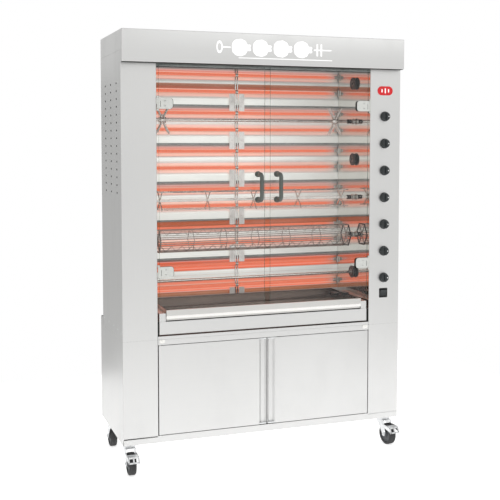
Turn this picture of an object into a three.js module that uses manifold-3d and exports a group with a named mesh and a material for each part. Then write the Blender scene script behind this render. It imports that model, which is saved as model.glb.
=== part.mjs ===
// Rotisserie oven on a wheeled cabinet. Millimetres, +Z up. While it is built, X is across the oven
// from its middle, Y runs back from the plane of the front posts and Z rises from the floor. The
// finished group is then moved so that the origin is the middle of its footprint, on the floor.
import * as THREE from 'three';
import Module from 'manifold-3d';
import { mergeVertices } from 'three/addons/utils/BufferGeometryUtils.js';

const wasm = await Module();
wasm.setup();

// ---------- driving dimensions ----------
const WIDTH = 1340;
const HALF = WIDTH / 2;
const POST = 157;                     // face width of each front post
const OPENING = HALF - POST;          // half width between the posts
const SHEET = 1.5;                    // all folded sheet steel
const GAP = 0.3;                      // between pieces that rest on each other
const INSIDE = HALF - SHEET - GAP;    // half width of what fits between the side panels
const BETWEEN = OPENING - GAP;        // half width of what fits between the posts

const BASE_BOTTOM = 140;
const RAIL_TOP = 170;
const BASE_TOP = 598;
const BASE_DEPTH = 500;
const STRIP = 24;                     // height of the strip above the cabinet doors
const UPSTAND = { top: 630, from: 450 };

const OVEN_BOTTOM = BASE_TOP + GAP;
const OVEN_TOP = 1853;
const OVEN_DEPTH = 445;
const JAMB_DEPTH = 110;               // return of the post into the cavity
const LINER_BACK = 352;
const ROOF = 1832;
const FLOOR = 675;
const LINTEL = { bottom: 1790, y: 9 };

const HEADER_TOP = 1942;
const NOSE = { out: 34, bottom: 1804 };

const SPIT = { y: 165, top: 1746, pitch: 183, levels: 6 };
const LAMP = { y: 352, above: 40, below: 40, lowest: 65, radius: 6.5 };
const TROUGH = { face: 354, depth: 18, mouth: 34, bed: 14 };

const KNOB = { x: 589, top: 1584, pitch: 127.2, count: 7, radius: 25 };
const SWITCH = { z: 748, halfWidth: 17, halfHeight: 20, rest: 9 };

const GLASS = { inner: 13, outer: 503, thickness: 6, bottom: 729, top: 1798 };
const HINGE = { x: 508, y: -5, pin: 2.5, halfHeight: 24, levels: { upper: 1630.5, lower: 895.5 } };
const HANDLE = { x: 46, bottom: 1204, top: 1319, out: 49, radius: 11 };

const DOOR = { outer: 509.5, inner: 1.5, depth: 20, bottom: 171.5, top: 572.5, grip: 38, recess: 17 };
const DOOR_PIN = { x: 502, y: 6, radius: 3.5 };
const TRAY = { halfWidth: 473, front: 8, back: 338, bottom: 678, top: 726 };

const CASTER = { x: 630, frontY: 68, rearY: 412, trail: 38, radius: 50, plate: 135 };
const FRONT_RIGHT_YAW = 8;            // degrees that the front right caster has swung outwards

const level = (k) => SPIT.top - SPIT.pitch * k;
const LEVELS = Array.from({ length: SPIT.levels }, (_, k) => level(k));

// The two lamps of a level, upper one first. The last lamp hangs lower, close to the floor.
const lampsAt = (k) => [
  level(k) + LAMP.above, level(k) - (k === SPIT.levels - 1 ? LAMP.lowest : LAMP.below),
];

// ---------- finishes: colour, roughness, metalness ----------
const finish = (color, roughness, metalness) => (
  new THREE.MeshStandardMaterial({ color, roughness, metalness })
);
const FINISH = {
  steel: () => finish(0xdcdcdb, 0.4, 0.9),
  polished: () => finish(0xd2cfcc, 0.18, 1),
  glass: () => finish(0xd8ebe4, 0.05, 0),
  lamp: () => finish(0xe8704a, 0.3, 0),
  black: () => finish(0x2e3436, 0.5, 0),
  grip: () => finish(0x5e6460, 0.45, 0.2),
  zinc: () => finish(0xc9ccce, 0.35, 1),
  tyre: () => finish(0x3a3a3a, 0.85, 0),
  spit: () => finish(0xb9b6b2, 0.25, 1),
  enamel: () => finish(0x4a4f52, 0.6, 0.3),
};

// ---------- shapes ----------
function block([x0, x1], [y0, y1], [z0, z1]) {
  const box = new THREE.BoxGeometry(Math.abs(x1 - x0), Math.abs(y1 - y0), Math.abs(z1 - z0));
  return box.translate((x0 + x1) / 2, (y0 + y1) / 2, (z0 + z1) / 2);
}

function extrude(points, depth) {
  const shape = points instanceof THREE.Shape
    ? points : new THREE.Shape(points.map(([u, v]) => new THREE.Vector2(u, v)));
  return new THREE.ExtrudeGeometry(shape, { depth, bevelEnabled: false, curveSegments: 8 });
}

// An outline in X and Y, carried up from z0 to z1.
const alongZ = (outline, [z0, z1]) => extrude(outline, z1 - z0).translate(0, 0, z0);

// An outline in Y and Z, carried across from x0 to x1.
function alongX(outline, [x0, x1]) {
  const turn = new THREE.Matrix4().set(0, 0, 1, x0, 1, 0, 0, 0, 0, 1, 0, 0, 0, 0, 0, 1);
  return extrude(outline, x1 - x0).applyMatrix4(turn);
}

// An outline in X and Z, carried back from y0 to y1.
function alongY(outline, [y0, y1]) {
  const turn = new THREE.Matrix4().set(1, 0, 0, 0, 0, 0, -1, y1, 0, 1, 0, 0, 0, 0, 0, 1);
  return extrude(outline, y1 - y0).applyMatrix4(turn);
}

// A round bar between two points.
function bar(from, to, radius, sides = 10) {
  const start = new THREE.Vector3(...from);
  const along = new THREE.Vector3(...to).sub(start);
  const up = new THREE.Vector3(0, 1, 0);
  const turn = new THREE.Quaternion().setFromUnitVectors(up, along.clone().normalize());
  return new THREE.CylinderGeometry(radius, radius, along.length(), sides)
    .applyQuaternion(turn).translate(...start.addScaledVector(along, 0.5).toArray());
}

// A closed profile of [radius, distance] points turned about Y. Its first facet may be turned by phase.
function turned(profile, sides, phase = 0) {
  const points = [...profile, profile[0]].map(([r, d]) => new THREE.Vector2(r, d));
  return outward(new THREE.LatheGeometry(points, sides, phase));
}

// The same about X, centred on (y, z).
const turnedAcross = (profile, sides, [y, z], phase = 0) => turned(profile, sides, phase)
  .rotateZ(-Math.PI / 2).translate(0, y, z);

// Turns a closed surface right side out if its signed volume is negative.
function outward(geometry) {
  const bare = mergeVertices(stripped(geometry), 1e-4);
  const place = bare.getAttribute('position');
  const order = bare.getIndex().array;
  const [a, b, c] = [0, 1, 2].map(() => new THREE.Vector3());
  let volume = 0;
  for (let i = 0; i < order.length; i += 3) {
    [a, b, c].forEach((corner, j) => corner.fromBufferAttribute(place, order[i + j]));
    volume += a.dot(b.cross(c));
  }
  if (volume < 0) bare.setIndex(Array.from(order).reverse());
  return bare;
}

function stripped(geometry) {
  const bare = geometry.clone();
  Object.keys(bare.attributes).filter((name) => name !== 'position')
    .forEach((name) => bare.deleteAttribute(name));
  return bare;
}

// The outline of a sheet of the given thickness whose outer face follows an open path. A positive
// thickness lies to the left of the path, and corners are mitred.
function folded(path, thickness = SHEET) {
  const normals = path.slice(1).map(([u, v], i) => {
    const [du, dv] = [u - path[i][0], v - path[i][1]];
    const length = Math.hypot(du, dv);
    return [-dv / length, du / length];
  });
  const inner = path.map(([u, v], i) => {
    const a = normals[Math.max(i - 1, 0)];
    const b = normals[Math.min(i, normals.length - 1)];
    const reach = thickness / (1 + a[0] * b[0] + a[1] * b[1]);
    return [u + reach * (a[0] + b[0]), v + reach * (a[1] + b[1])];
  });
  return [...path, ...inner.reverse()];
}

// ---------- joining and cutting ----------
function toSolid(geometry) {
  const bare = mergeVertices(stripped(geometry), 1e-4);
  const vertProperties = new Float32Array(bare.getAttribute('position').array);
  return new wasm.Manifold(new wasm.Mesh({
    numProp: 3, vertProperties, triVerts: new Uint32Array(bare.getIndex().array),
  }));
}

function fromSolid(solid) {
  const mesh = solid.getMesh();
  const geometry = new THREE.BufferGeometry();
  geometry.setAttribute('position', new THREE.BufferAttribute(new Float32Array(mesh.vertProperties), 3));
  geometry.setIndex(new THREE.BufferAttribute(new Uint32Array(mesh.triVerts), 1));
  return geometry;
}

const join = (...pieces) => fromSolid(pieces.map(toSolid).reduce((whole, piece) => whole.add(piece)));
const cut = (piece, ...tools) => fromSolid(
  tools.map(toSolid).reduce((rest, tool) => rest.subtract(tool), toSolid(piece)),
);

const group = new THREE.Group();

function add(name, geometry, material, parent = group) {
  const mesh = new THREE.Mesh(geometry, material);
  mesh.name = name;
  parent.add(mesh);
}

// ---------- cabinet ----------
// Side panel, front post and its return in one folded sheet; the rear edge rises behind the oven.
function cabinetSide(side) {
  const wrap = [[side * OPENING, 26], [side * OPENING, 0], [side * HALF, 0], [side * HALF, BASE_DEPTH]];
  const skin = [side * (HALF - SHEET), side * HALF];
  return join(
    alongZ(folded(wrap, side * SHEET), [RAIL_TOP + GAP, BASE_TOP]),
    block(skin, [0, BASE_DEPTH], [BASE_BOTTOM, RAIL_TOP + 1]),
    block(skin, [UPSTAND.from, BASE_DEPTH], [BASE_TOP - 1, UPSTAND.top]),
  );
}

const doorPinHole = (side, [z0, z1]) => {
  const place = [side * DOOR_PIN.x, DOOR_PIN.y];
  return bar([...place, z0], [...place, z1], DOOR_PIN.radius + 0.5, 12);
};

// Floor pan with the bottom rail folded up in front, and the four caster pads welded beneath.
function cabinetFloor() {
  const path = [[18, RAIL_TOP], [0, RAIL_TOP], [0, BASE_BOTTOM], [BASE_DEPTH - SHEET - GAP, BASE_BOTTOM]];
  const pads = [-1, 1].flatMap((side) => [CASTER.frontY, CASTER.rearY].map((y) => block(
    [side * CASTER.x - 36, side * CASTER.x + 36], [y - 45, y + 45], [CASTER.plate, BASE_BOTTOM + 1],
  )));
  const pan = join(alongX(folded(path), [-INSIDE, INSIDE]), ...pads);
  return cut(pan, ...[-1, 1].map((side) => doorPinHole(side, [RAIL_TOP - 6, RAIL_TOP + 4])));
}

// Deck that carries the oven, with the strip above the doors folded down in front.
function cabinetDeck() {
  const back = BASE_DEPTH - SHEET - GAP;
  const path = [[STRIP, BASE_TOP - STRIP], [0, BASE_TOP - STRIP], [0, BASE_TOP], [back, BASE_TOP]];
  const deck = join(
    alongX(folded(path, -SHEET), [-BETWEEN, BETWEEN]),
    block([-INSIDE, INSIDE], [27, back], [BASE_TOP - SHEET, BASE_TOP]),
  );
  const holes = [-1, 1].map((side) => doorPinHole(side, [BASE_TOP - STRIP - 4, BASE_TOP - STRIP + 6]));
  return cut(deck, ...holes);
}

// Cabinet door: a shallow pan with a finger channel down its meeting edge and a pivot pin at each end.
function cabinetDoor(side) {
  const at = (x) => side * x;
  const path = [
    [at(DOOR.outer), DOOR.depth], [at(DOOR.outer), 0], [at(DOOR.grip + 4), 0], [at(DOOR.grip), 4],
    [at(DOOR.grip), DOOR.recess], [at(DOOR.inner), DOOR.recess], [at(DOOR.inner), DOOR.depth],
  ];
  const skin = alongZ(folded(path, -side * SHEET), [DOOR.bottom, DOOR.top]);
  const ends = [[DOOR.bottom, 1], [DOOR.top, -1]].flatMap(([z, inwards]) => [
    block([at(DOOR.inner), at(DOOR.outer)], [0, DOOR.depth], [z, z + inwards * SHEET]),
    block([at(DOOR.inner), at(DOOR.grip + 4)], [0, SHEET], [z, z + inwards * 14]),
    block(
      [at(DOOR.inner), at(DOOR.grip + SHEET)], [0, DOOR.recess + 1],
      [z + inwards * (14 - SHEET), z + inwards * 14],
    ),
    bar(
      [at(DOOR_PIN.x), DOOR_PIN.y, z - inwards * 7], [at(DOOR_PIN.x), DOOR_PIN.y, z + inwards],
      DOOR_PIN.radius, 12,
    ),
  ]);
  return join(skin, ...ends);
}

function buildCabinet() {
  add('base_left_side', cabinetSide(-1), FINISH.steel());
  add('base_right_side', cabinetSide(1), FINISH.steel());
  const back = block([-INSIDE, INSIDE], [BASE_DEPTH - SHEET, BASE_DEPTH], [BASE_BOTTOM, UPSTAND.top]);
  add('base_back', back, FINISH.steel());
  add('base_floor', cabinetFloor(), FINISH.steel());
  add('base_deck', cabinetDeck(), FINISH.steel());
  add('base_door_left', cabinetDoor(-1), FINISH.steel());
  add('base_door_right', cabinetDoor(1), FINISH.steel());
}

// ---------- oven shell ----------
// Two arms and a pin for each glass door hinge, welded to the post's return.
function hingeArms(side) {
  return Object.values(HINGE.levels).flatMap((z) => {
    const arms = [-1, 1].map((end) => block(
      [side * (HINGE.x - 4.5), side * (OPENING + 1)], [HINGE.y - 4.5, 8],
      [z + end * (HINGE.halfHeight + 1), z + end * (HINGE.halfHeight + 7)],
    ));
    const reach = HINGE.halfHeight + 6;
    const place = [side * HINGE.x, HINGE.y];
    return [...arms, bar([...place, z - reach], [...place, z + reach], HINGE.pin, 8)];
  });
}

function ovenSide(side) {
  const wrap = [
    [side * OPENING, JAMB_DEPTH], [side * OPENING, 0], [side * HALF, 0], [side * HALF, OVEN_DEPTH],
  ];
  return join(alongZ(folded(wrap, side * SHEET), [OVEN_BOTTOM, OVEN_TOP]), ...hingeArms(side));
}

// The right side also carries the controls: holes for the knob shafts and the power switch.
function controlSide() {
  const shafts = Array.from({ length: KNOB.count }, (_, k) => {
    const z = KNOB.top - KNOB.pitch * k;
    return bar([KNOB.x, -5, z], [KNOB.x, 5, z], 5, 8);
  });
  const window = block(
    [KNOB.x - SWITCH.halfWidth, KNOB.x + SWITCH.halfWidth], [-5, 5],
    [SWITCH.z - SWITCH.halfHeight, SWITCH.z + SWITCH.halfHeight],
  );
  return cut(ovenSide(1), ...shafts, window);
}

function ovenBottom() {
  const back = OVEN_DEPTH - SHEET - GAP;
  const path = [[0, OVEN_BOTTOM + 14], [0, OVEN_BOTTOM], [back, OVEN_BOTTOM]];
  return join(
    alongX(folded(path), [-BETWEEN, BETWEEN]),
    block([-INSIDE, INSIDE], [JAMB_DEPTH + 1, back], [OVEN_BOTTOM, OVEN_BOTTOM + SHEET]),
  );
}

// A shell closed at the sides and top, open below, with a nose that overhangs the doors.
function headerCanopy() {
  const base = OVEN_TOP + GAP;
  const outer = [
    [-NOSE.out, NOSE.bottom], [-NOSE.out, HEADER_TOP], [OVEN_DEPTH, HEADER_TOP],
    [OVEN_DEPTH, base], [-GAP, base], [-GAP, NOSE.bottom],
  ];
  const inner = [
    [-NOSE.out + SHEET, NOSE.bottom + SHEET], [-NOSE.out + SHEET, HEADER_TOP - SHEET],
    [OVEN_DEPTH - SHEET, HEADER_TOP - SHEET], [OVEN_DEPTH - SHEET, base - 5], [SHEET, base - 5],
    [SHEET, base + SHEET], [-GAP - SHEET, base + SHEET], [-GAP - SHEET, NOSE.bottom + SHEET],
  ];
  return cut(alongX(outer, [-HALF, HALF]), alongX(inner, [-HALF + SHEET, HALF - SHEET]));
}

function buildShell() {
  add('oven_left_side', ovenSide(-1), FINISH.steel());
  add('oven_right_side', controlSide(), FINISH.steel());
  const back = block([-INSIDE, INSIDE], [OVEN_DEPTH - SHEET, OVEN_DEPTH], [OVEN_BOTTOM, OVEN_TOP]);
  add('oven_back_cover', back, FINISH.steel());
  add('oven_bottom', ovenBottom(), FINISH.steel());
  add('header_canopy', headerCanopy(), FINISH.steel());
  const gland = turned([[0, 0], [15, 0], [15, 7], [10, 7], [10, 20], [6, 20], [6, 12], [0, 12]], 12);
  add('cable_gland', gland.translate(560, OVEN_DEPTH + GAP, 720), FINISH.black());
}

// ---------- cavity ----------
// Left wall with a bar of open slots, one for the free end of each spit.
function restWall() {
  const bed = [-OPENING, -OPENING + 7];
  const rest = block(bed, [SPIT.y - 16, SPIT.y + 14], [level(5) - 20, level(0) + 20]);
  const slots = LEVELS.flatMap((z) => [
    block([bed[0], bed[1] + 5], [SPIT.y - 30, SPIT.y], [z - 6, z + 6]),
    bar([bed[0], SPIT.y, z], [bed[1] + 5, SPIT.y, z], 6, 12),
  ]);
  return join(
    block([-OPENING - SHEET, -OPENING], [JAMB_DEPTH + GAP, LINER_BACK], [FLOOR + GAP, ROOF - GAP]),
    cut(rest, ...slots),
  );
}

function driveWall() {
  const wall = block([OPENING, OPENING + SHEET], [JAMB_DEPTH + GAP, LINER_BACK], [FLOOR + GAP, ROOF - GAP]);
  return cut(wall, ...LEVELS.map((z) => bar([OPENING - 5, SPIT.y, z], [OPENING + 5, SPIT.y, z], 9.5, 12)));
}

// Cavity floor with the apron folded down in front and a runner each side of the tray.
function cavityFloor() {
  const path = [[6, FLOOR - 57], [6, FLOOR], [LINER_BACK, FLOOR]];
  const runners = [-1, 1].flatMap((side) => {
    const wall = TRAY.halfWidth + 1.5;
    const top = [FLOOR + 35.5, FLOOR + 37];
    return [
      block([side * wall, side * (wall + SHEET)], [TRAY.front, 340], [FLOOR - 1, top[1]]),
      block([side * wall, side * 504], [TRAY.front, 340], top),
      block([side * wall, side * 504], [TRAY.front, TRAY.front + SHEET], [FLOOR - 1, top[1]]),
    ];
  });
  return join(
    alongX(folded(path, -SHEET), [-504, 504]),
    block([-BETWEEN, BETWEEN], [20, LINER_BACK], [FLOOR - SHEET, FLOOR]),
    ...runners,
  );
}

// Rear reflector: one sheet with a shallow trough behind every lamp.
function rearReflector() {
  const path = [[TROUGH.face, FLOOR + GAP]];
  LEVELS.flatMap((_, k) => lampsAt(k)).reverse().forEach((middle) => path.push(
    [TROUGH.face, middle - TROUGH.mouth], [TROUGH.face + TROUGH.depth, middle - TROUGH.bed],
    [TROUGH.face + TROUGH.depth, middle + TROUGH.bed], [TROUGH.face, middle + TROUGH.mouth],
  ));
  path.push([TROUGH.face, ROOF - GAP]);
  return alongX(folded(path, -SHEET), [-BETWEEN, BETWEEN]);
}

// Four lamps of two neighbouring levels, carried by an end bar each side and a bar near the middle.
function heaterBank(upper) {
  const heights = [upper, upper + 1].flatMap(lampsAt);
  const span = [heights[3] - 22, heights[0] + 22];
  const depth = [343, TROUGH.face - GAP];
  return join(
    ...heights.map((z) => bar([-505, LAMP.y, z], [505, LAMP.y, z], LAMP.radius, 8)),
    block([-512, -500], depth, span), block([500, 512], depth, span),
    block([-66, 8], [347, depth[1]], span),
  );
}

function buildCavity() {
  add('cavity_left_wall', restWall(), FINISH.polished());
  add('cavity_right_wall', driveWall(), FINISH.polished());
  const roofPath = [[LINER_BACK, ROOF], [LINTEL.y, ROOF], [LINTEL.y, LINTEL.bottom]];
  add('cavity_roof', alongX(folded(roofPath, -SHEET), [-BETWEEN, BETWEEN]), FINISH.polished());
  add('cavity_floor', cavityFloor(), FINISH.steel());
  add('rear_reflector', rearReflector(), FINISH.polished());
  ['upper', 'middle', 'lower'].forEach((name, i) => (
    add(`heater_bank_${name}`, heaterBank(2 * i), FINISH.lamp())
  ));
}

function dripTray() {
  const { halfWidth, front, back, bottom, top } = TRAY;
  const hollow = block(
    [-halfWidth + SHEET, halfWidth - SHEET], [front + SHEET, back - SHEET], [bottom + SHEET, top + 9],
  );
  const tray = cut(block([-halfWidth, halfWidth], [front, back], [bottom, top]), hollow);
  return join(tray, block([-halfWidth, halfWidth], [front - 5, front + 1], [top - SHEET, top]));
}

// ---------- glass doors ----------
// Clamp with a plate on each face of the glass, a bridge round its edge and the hinge barrel.
function glassClamp(side, z) {
  const at = (x) => side * x;
  const [near, far] = [441, GLASS.outer];
  const [low, high] = [z - HINGE.halfHeight, z + HINGE.halfHeight];
  const corner = 8;
  const outline = [
    [at(far), low], [at(near + corner), low], [at(near), low + corner],
    [at(near), high - corner], [at(near + corner), high], [at(far), high],
  ];
  const clamp = join(
    alongY(outline, [-6.5, -0.4]), alongY(outline, [GLASS.thickness + 0.4, 11]),
    block([at(far - 0.1), at(507)], [-6.5, -0.4], [low, high]),
    block([at(far + 0.6), at(507)], [-5, 11], [low, high]),
    block([at(far - 1), at(507)], [GLASS.thickness + 0.4, 11], [low, high]),
    bar([at(HINGE.x), HINGE.y, low], [at(HINGE.x), HINGE.y, high], 4.4, 12),
  );
  const bore = bar([at(HINGE.x), HINGE.y, low - 2], [at(HINGE.x), HINGE.y, high + 2], HINGE.pin + 0.5, 12);
  return cut(clamp, bore);
}

// Bow handle: a round bar that leaves the glass, bends down along it and returns.
function bowHandle(side) {
  const x = side * HANDLE.x;
  const bend = 14;
  const { bottom, top, out } = HANDLE;
  const near = bend * 0.3;            // how far a bend's middle lies inside its sharp corner
  const route = [
    [-GAP, top], [-14, top], [-out + bend, top], [-out + near, top - near], [-out, top - bend],
    [-out, (top + bottom) / 2],
    [-out, bottom + bend], [-out + near, bottom + near], [-out + bend, bottom], [-14, bottom],
    [-GAP, bottom],
  ].map(([y, z]) => new THREE.Vector3(x, y, z));
  const section = new THREE.Shape(Array.from({ length: 8 }, (_, i) => {
    const angle = (i * Math.PI) / 4;
    return new THREE.Vector2(HANDLE.radius * Math.cos(angle), HANDLE.radius * Math.sin(angle));
  }));
  const extrudePath = new THREE.CatmullRomCurve3(route, false, 'catmullrom', 0.4);
  return new THREE.ExtrudeGeometry(section, { steps: 20, extrudePath });
}

function buildDoors() {
  [['left', -1], ['right', 1]].forEach(([name, side]) => {
    const sheet = block(
      [side * GLASS.inner, side * GLASS.outer], [0, GLASS.thickness], [GLASS.bottom, GLASS.top],
    );
    add(`glass_door_${name}`, sheet, FINISH.glass());
    Object.entries(HINGE.levels).forEach(([place, z]) => (
      add(`glass_clamp_${name}_${place}`, glassClamp(side, z), FINISH.zinc())
    ));
    add(`door_handle_${name}`, bowHandle(side), FINISH.grip());
  });
}

// ---------- controls ----------
function knob(z) {
  const skirt = turned([[0, 1], [KNOB.radius, 1], [KNOB.radius, 8], [21, 20], [0, 20]], 16);
  const body = skirt.rotateX(Math.PI).translate(KNOB.x, 0, z);
  return join(
    body,
    block([KNOB.x - 4, KNOB.x + 4], [-27, -19], [z - 20, z + 20]),
    bar([KNOB.x, -2, z], [KNOB.x, 13.6, z], 3, 8),
  );
}

// Rocker with a shallow V face, tilted so that its lower half stands proud.
function powerRocker() {
  const outline = [[-7, 15], [-3.5, 0], [-7, -15], [8, -12], [8, 12]];
  const half = SWITCH.halfWidth - 0.8;
  return alongX(outline, [-half, half])
    .rotateX(THREE.MathUtils.degToRad(SWITCH.rest)).translate(KNOB.x, 2, SWITCH.z);
}

// ---------- drive ----------
// Black socket disc in the cavity, shaft through the wall and sprocket behind it, with a square socket.
function spitDrive(z) {
  const face = OPENING - 13.5;
  const profile = [
    [0, face], [30, face], [30, OPENING - 1], [8, OPENING - 1], [8, 523], [26, 523], [26, 529],
    [8, 529], [8, 540], [0, 540],
  ];
  const half = 6.4;
  const socket = block([face - 2, face + 9.5], [SPIT.y - half, SPIT.y + half], [z - half, z + half]);
  return cut(turnedAcross(profile, 12, [SPIT.y, z]), socket);
}

// Roller chain as a plain band round the sprockets.
function driveChain() {
  const loop = (radius) => {
    const path = new THREE.Path();
    path.absarc(SPIT.y, level(0), radius, 0, Math.PI, false);
    path.absarc(SPIT.y, level(5), radius, Math.PI, 2 * Math.PI, false);
    return path.getPoints(7);
  };
  const band = new THREE.Shape(loop(31));
  band.holes.push(new THREE.Path(loop(27.2)));
  return alongX(band, [523.5, 528.5]);
}

function gearMotor() {
  const z = level(5);
  return join(
    block([542, 588], [SPIT.y - 38, SPIT.y + 38], [z - 42, z + 42]),
    bar([587, SPIT.y, z], [662, SPIT.y, z], 34, 14),
  );
}

function buildDrive() {
  LEVELS.forEach((z, k) => add(`spit_drive_${k + 1}`, spitDrive(z), FINISH.black()));
  add('drive_chain', driveChain(), FINISH.zinc());
  add('gear_motor', gearMotor(), FINISH.enamel());
}

// ---------- spits ----------
// What every spit ends in: a round tip in the rest slot and a square tang in the drive socket.
const spitEnds = (z, left, right) => [
  bar([-OPENING + 1, SPIT.y, z], [left + 1, SPIT.y, z], 5, 10),
  block([right - 1, 508], [SPIT.y - 6, SPIT.y + 6], [z - 6, z + 6]),
];

// Round rod with two double forks: each hub sends a pair of prongs up and a pair down, either way
// along the rod.
function forkSpit(z) {
  const [across, reach, beside] = [64, 32, 12];
  const fork = (x) => [
    bar([x - 14, SPIT.y, z], [x + 14, SPIT.y, z], 15, 12),
    ...[-1, 1].flatMap((way) => [[1, 1], [1, -1], [-1, 1], [-1, -1]].map(([u, v]) => bar(
      [x + way * 4, SPIT.y + u * 6, z + v * 6],
      [x + way * reach, SPIT.y + u * beside, z + v * across], 3.2, 4,
    ))),
  ];
  return join(
    bar([-500, SPIT.y, z], [496, SPIT.y, z], 7, 10), ...fork(-445), ...fork(406), ...spitEnds(z, -500, 496),
  );
}

// Bare rod, ready for loose forks.
const plainSpit = (z) => join(bar([-500, SPIT.y, z], [496, SPIT.y, z], 6, 10), ...spitEnds(z, -500, 496));

// Square rod with five crosses that carry four long skewers.
function multiForkSpit(z) {
  const stations = [-460, -235, -10, 215, 440];
  const reach = 44;
  const arms = stations.flatMap((x) => [[1, 1], [1, -1]].map(([u, v]) => bar(
    [x, SPIT.y - u * reach, z - v * reach], [x, SPIT.y + u * reach, z + v * reach], 4, 4,
  )));
  const skewers = [[1, 1], [1, -1], [-1, 1], [-1, -1]].map(([u, v]) => {
    const place = [SPIT.y + u * (reach - 4), z + v * (reach - 4)];
    return bar([-485, ...place], [462, ...place], 2.5, 4);
  });
  const rod = block([-500, 496], [SPIT.y - 6, SPIT.y + 6], [z - 6, z + 6]);
  return join(rod, ...arms, ...skewers, ...spitEnds(z, -500, 496));
}

// Six-sided basket with open bays in every face and a boss at each end.
function basketSpit(z) {
  const across = 105;
  const length = 480;
  const hexagon = (flat) => new THREE.Shape(Array.from({ length: 6 }, (_, i) => {
    const angle = (i * Math.PI) / 3;
    const r = flat / Math.sqrt(3);
    return new THREE.Vector2(SPIT.y + r * Math.cos(angle), z + r * Math.sin(angle));
  }));
  const shell = cut(
    alongX(hexagon(across), [-length, length]), alongX(hexagon(across - 5), [-length + 2.5, length - 2.5]),
  );
  const bays = 6;
  const pitch = (2 * length) / bays;
  const windows = [0, 60, 120].flatMap((degrees) => Array.from({ length: bays }, (_, i) => {
    const x = -length + pitch * (i + 0.5);
    return block([x - pitch / 2 + 3, x + pitch / 2 - 3], [-26, 26], [-80, 80])
      .rotateX(THREE.MathUtils.degToRad(degrees)).translate(0, SPIT.y, z);
  }));
  return join(
    cut(shell, ...windows), bar([-500, SPIT.y, z], [-length + 1, SPIT.y, z], 9, 10),
    bar([length - 1, SPIT.y, z], [496, SPIT.y, z], 9, 10), ...spitEnds(z, -499, 496),
  );
}

// ---------- casters ----------
const legOutline = [[20, 116], [-34, 116], [-50, 58], [-46, 43], [-38, 39], [-30, 43], [8, 94], [20, 104]];

// Swivel head, crown, two legs, axle and, on a braked caster, a stub each side for the pedal.
function casterFork(braked) {
  const legs = [-1, 1].map((side) => alongX(legOutline, side < 0 ? [-22.5, -20] : [20, 22.5]));
  const stubs = [-1, 1].map((side) => bar([side * 21, -33, 90], [side * 26, -33, 90], 3, 8));
  return join(
    bar([0, 0, 112], [0, 0, CASTER.plate - GAP], 26, 16),
    block([-22.5, 22.5], [-34, 20], [112, 116]), ...legs,
    bar([-24, -CASTER.trail, CASTER.radius], [24, -CASTER.trail, CASTER.radius], 6, 12),
    ...(braked ? stubs : []),
  );
}

// The wheel stands on one of its facets, so its corners lie a little outside its rolling radius.
function casterWheel() {
  const sides = 16;
  const rim = CASTER.radius / Math.cos(Math.PI / sides);
  const profile = [
    [6.8, -18.5], [15, -18.5], [20, -11], [34, -11], [38, -18], [rim, -15],
    [rim, 15], [38, 18], [34, 11], [20, 11], [15, 18.5], [6.8, 18.5],
  ];
  return turnedAcross(profile, sides, [-CASTER.trail, CASTER.radius], Math.PI / sides);
}

// Brake pedal: an arm outside each leg and the tread plate in front of the wheel.
function brakePedal() {
  const arm = [[-26, 96], [-27, 85], [-40, 83], [-92, 72], [-98, 66], [-101, 67.5], [-87, 94.5], [-60, 97]];
  const plate = [[-84, 92], [-98, 66], [-101, 67.5], [-87, 94.5]];
  const arms = [[-25.4, -22.9], [22.9, 25.4]].map((span) => alongX(arm, span));
  const pivot = bar([-30, -33, 90], [30, -33, 90], 3.4, 8);
  return cut(join(...arms, alongX(plate, [-25, 25])), pivot);
}

function buildCasters() {
  const corners = [
    ['front_left', -1, CASTER.frontY, 0, true], ['front_right', 1, CASTER.frontY, FRONT_RIGHT_YAW, true],
    ['rear_left', -1, CASTER.rearY, 180, false], ['rear_right', 1, CASTER.rearY, 180, false],
  ];
  corners.forEach(([name, side, y, yaw, braked]) => {
    const caster = new THREE.Group();
    caster.position.set(side * CASTER.x, y, 0);
    caster.rotation.z = THREE.MathUtils.degToRad(yaw);
    add(`caster_fork_${name}`, casterFork(braked), FINISH.zinc(), caster);
    add(`caster_wheel_${name}`, casterWheel(), FINISH.tyre(), caster);
    if (braked) add(`brake_pedal_${name}`, brakePedal(), FINISH.zinc(), caster);
    group.add(caster);
  });
}

// ---------- assembly ----------
buildCabinet();
buildShell();
buildCavity();
add('drip_tray', dripTray(), FINISH.polished());
buildDoors();
for (let k = 0; k < KNOB.count; k += 1) {
  add(`knob_${k + 1}`, knob(KNOB.top - KNOB.pitch * k), FINISH.black());
}
add('power_rocker', powerRocker(), FINISH.black());
buildDrive();
add('fork_spit', forkSpit(level(1)), FINISH.spit());
add('multi_fork_spit', multiForkSpit(level(3)), FINISH.spit());
add('basket_spit', basketSpit(level(4)), FINISH.spit());
add('plain_spit', plainSpit(level(5)), FINISH.spit());
buildCasters();

// Origin: the middle of the footprint, on the floor.
const middle = new THREE.Box3().setFromObject(group, true).getCenter(new THREE.Vector3());
group.position.set(-middle.x, -middle.y, 0);

export default group;
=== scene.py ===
"""Rotisserie oven on a wheeled cabinet: its visible pieces and finishes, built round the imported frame.

Sizes below are in millimetres, measured across from the oven's middle, back from the plane of the
front posts and up from the floor. Shape.build moves them into the frame, in metres.
"""

import math

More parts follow.
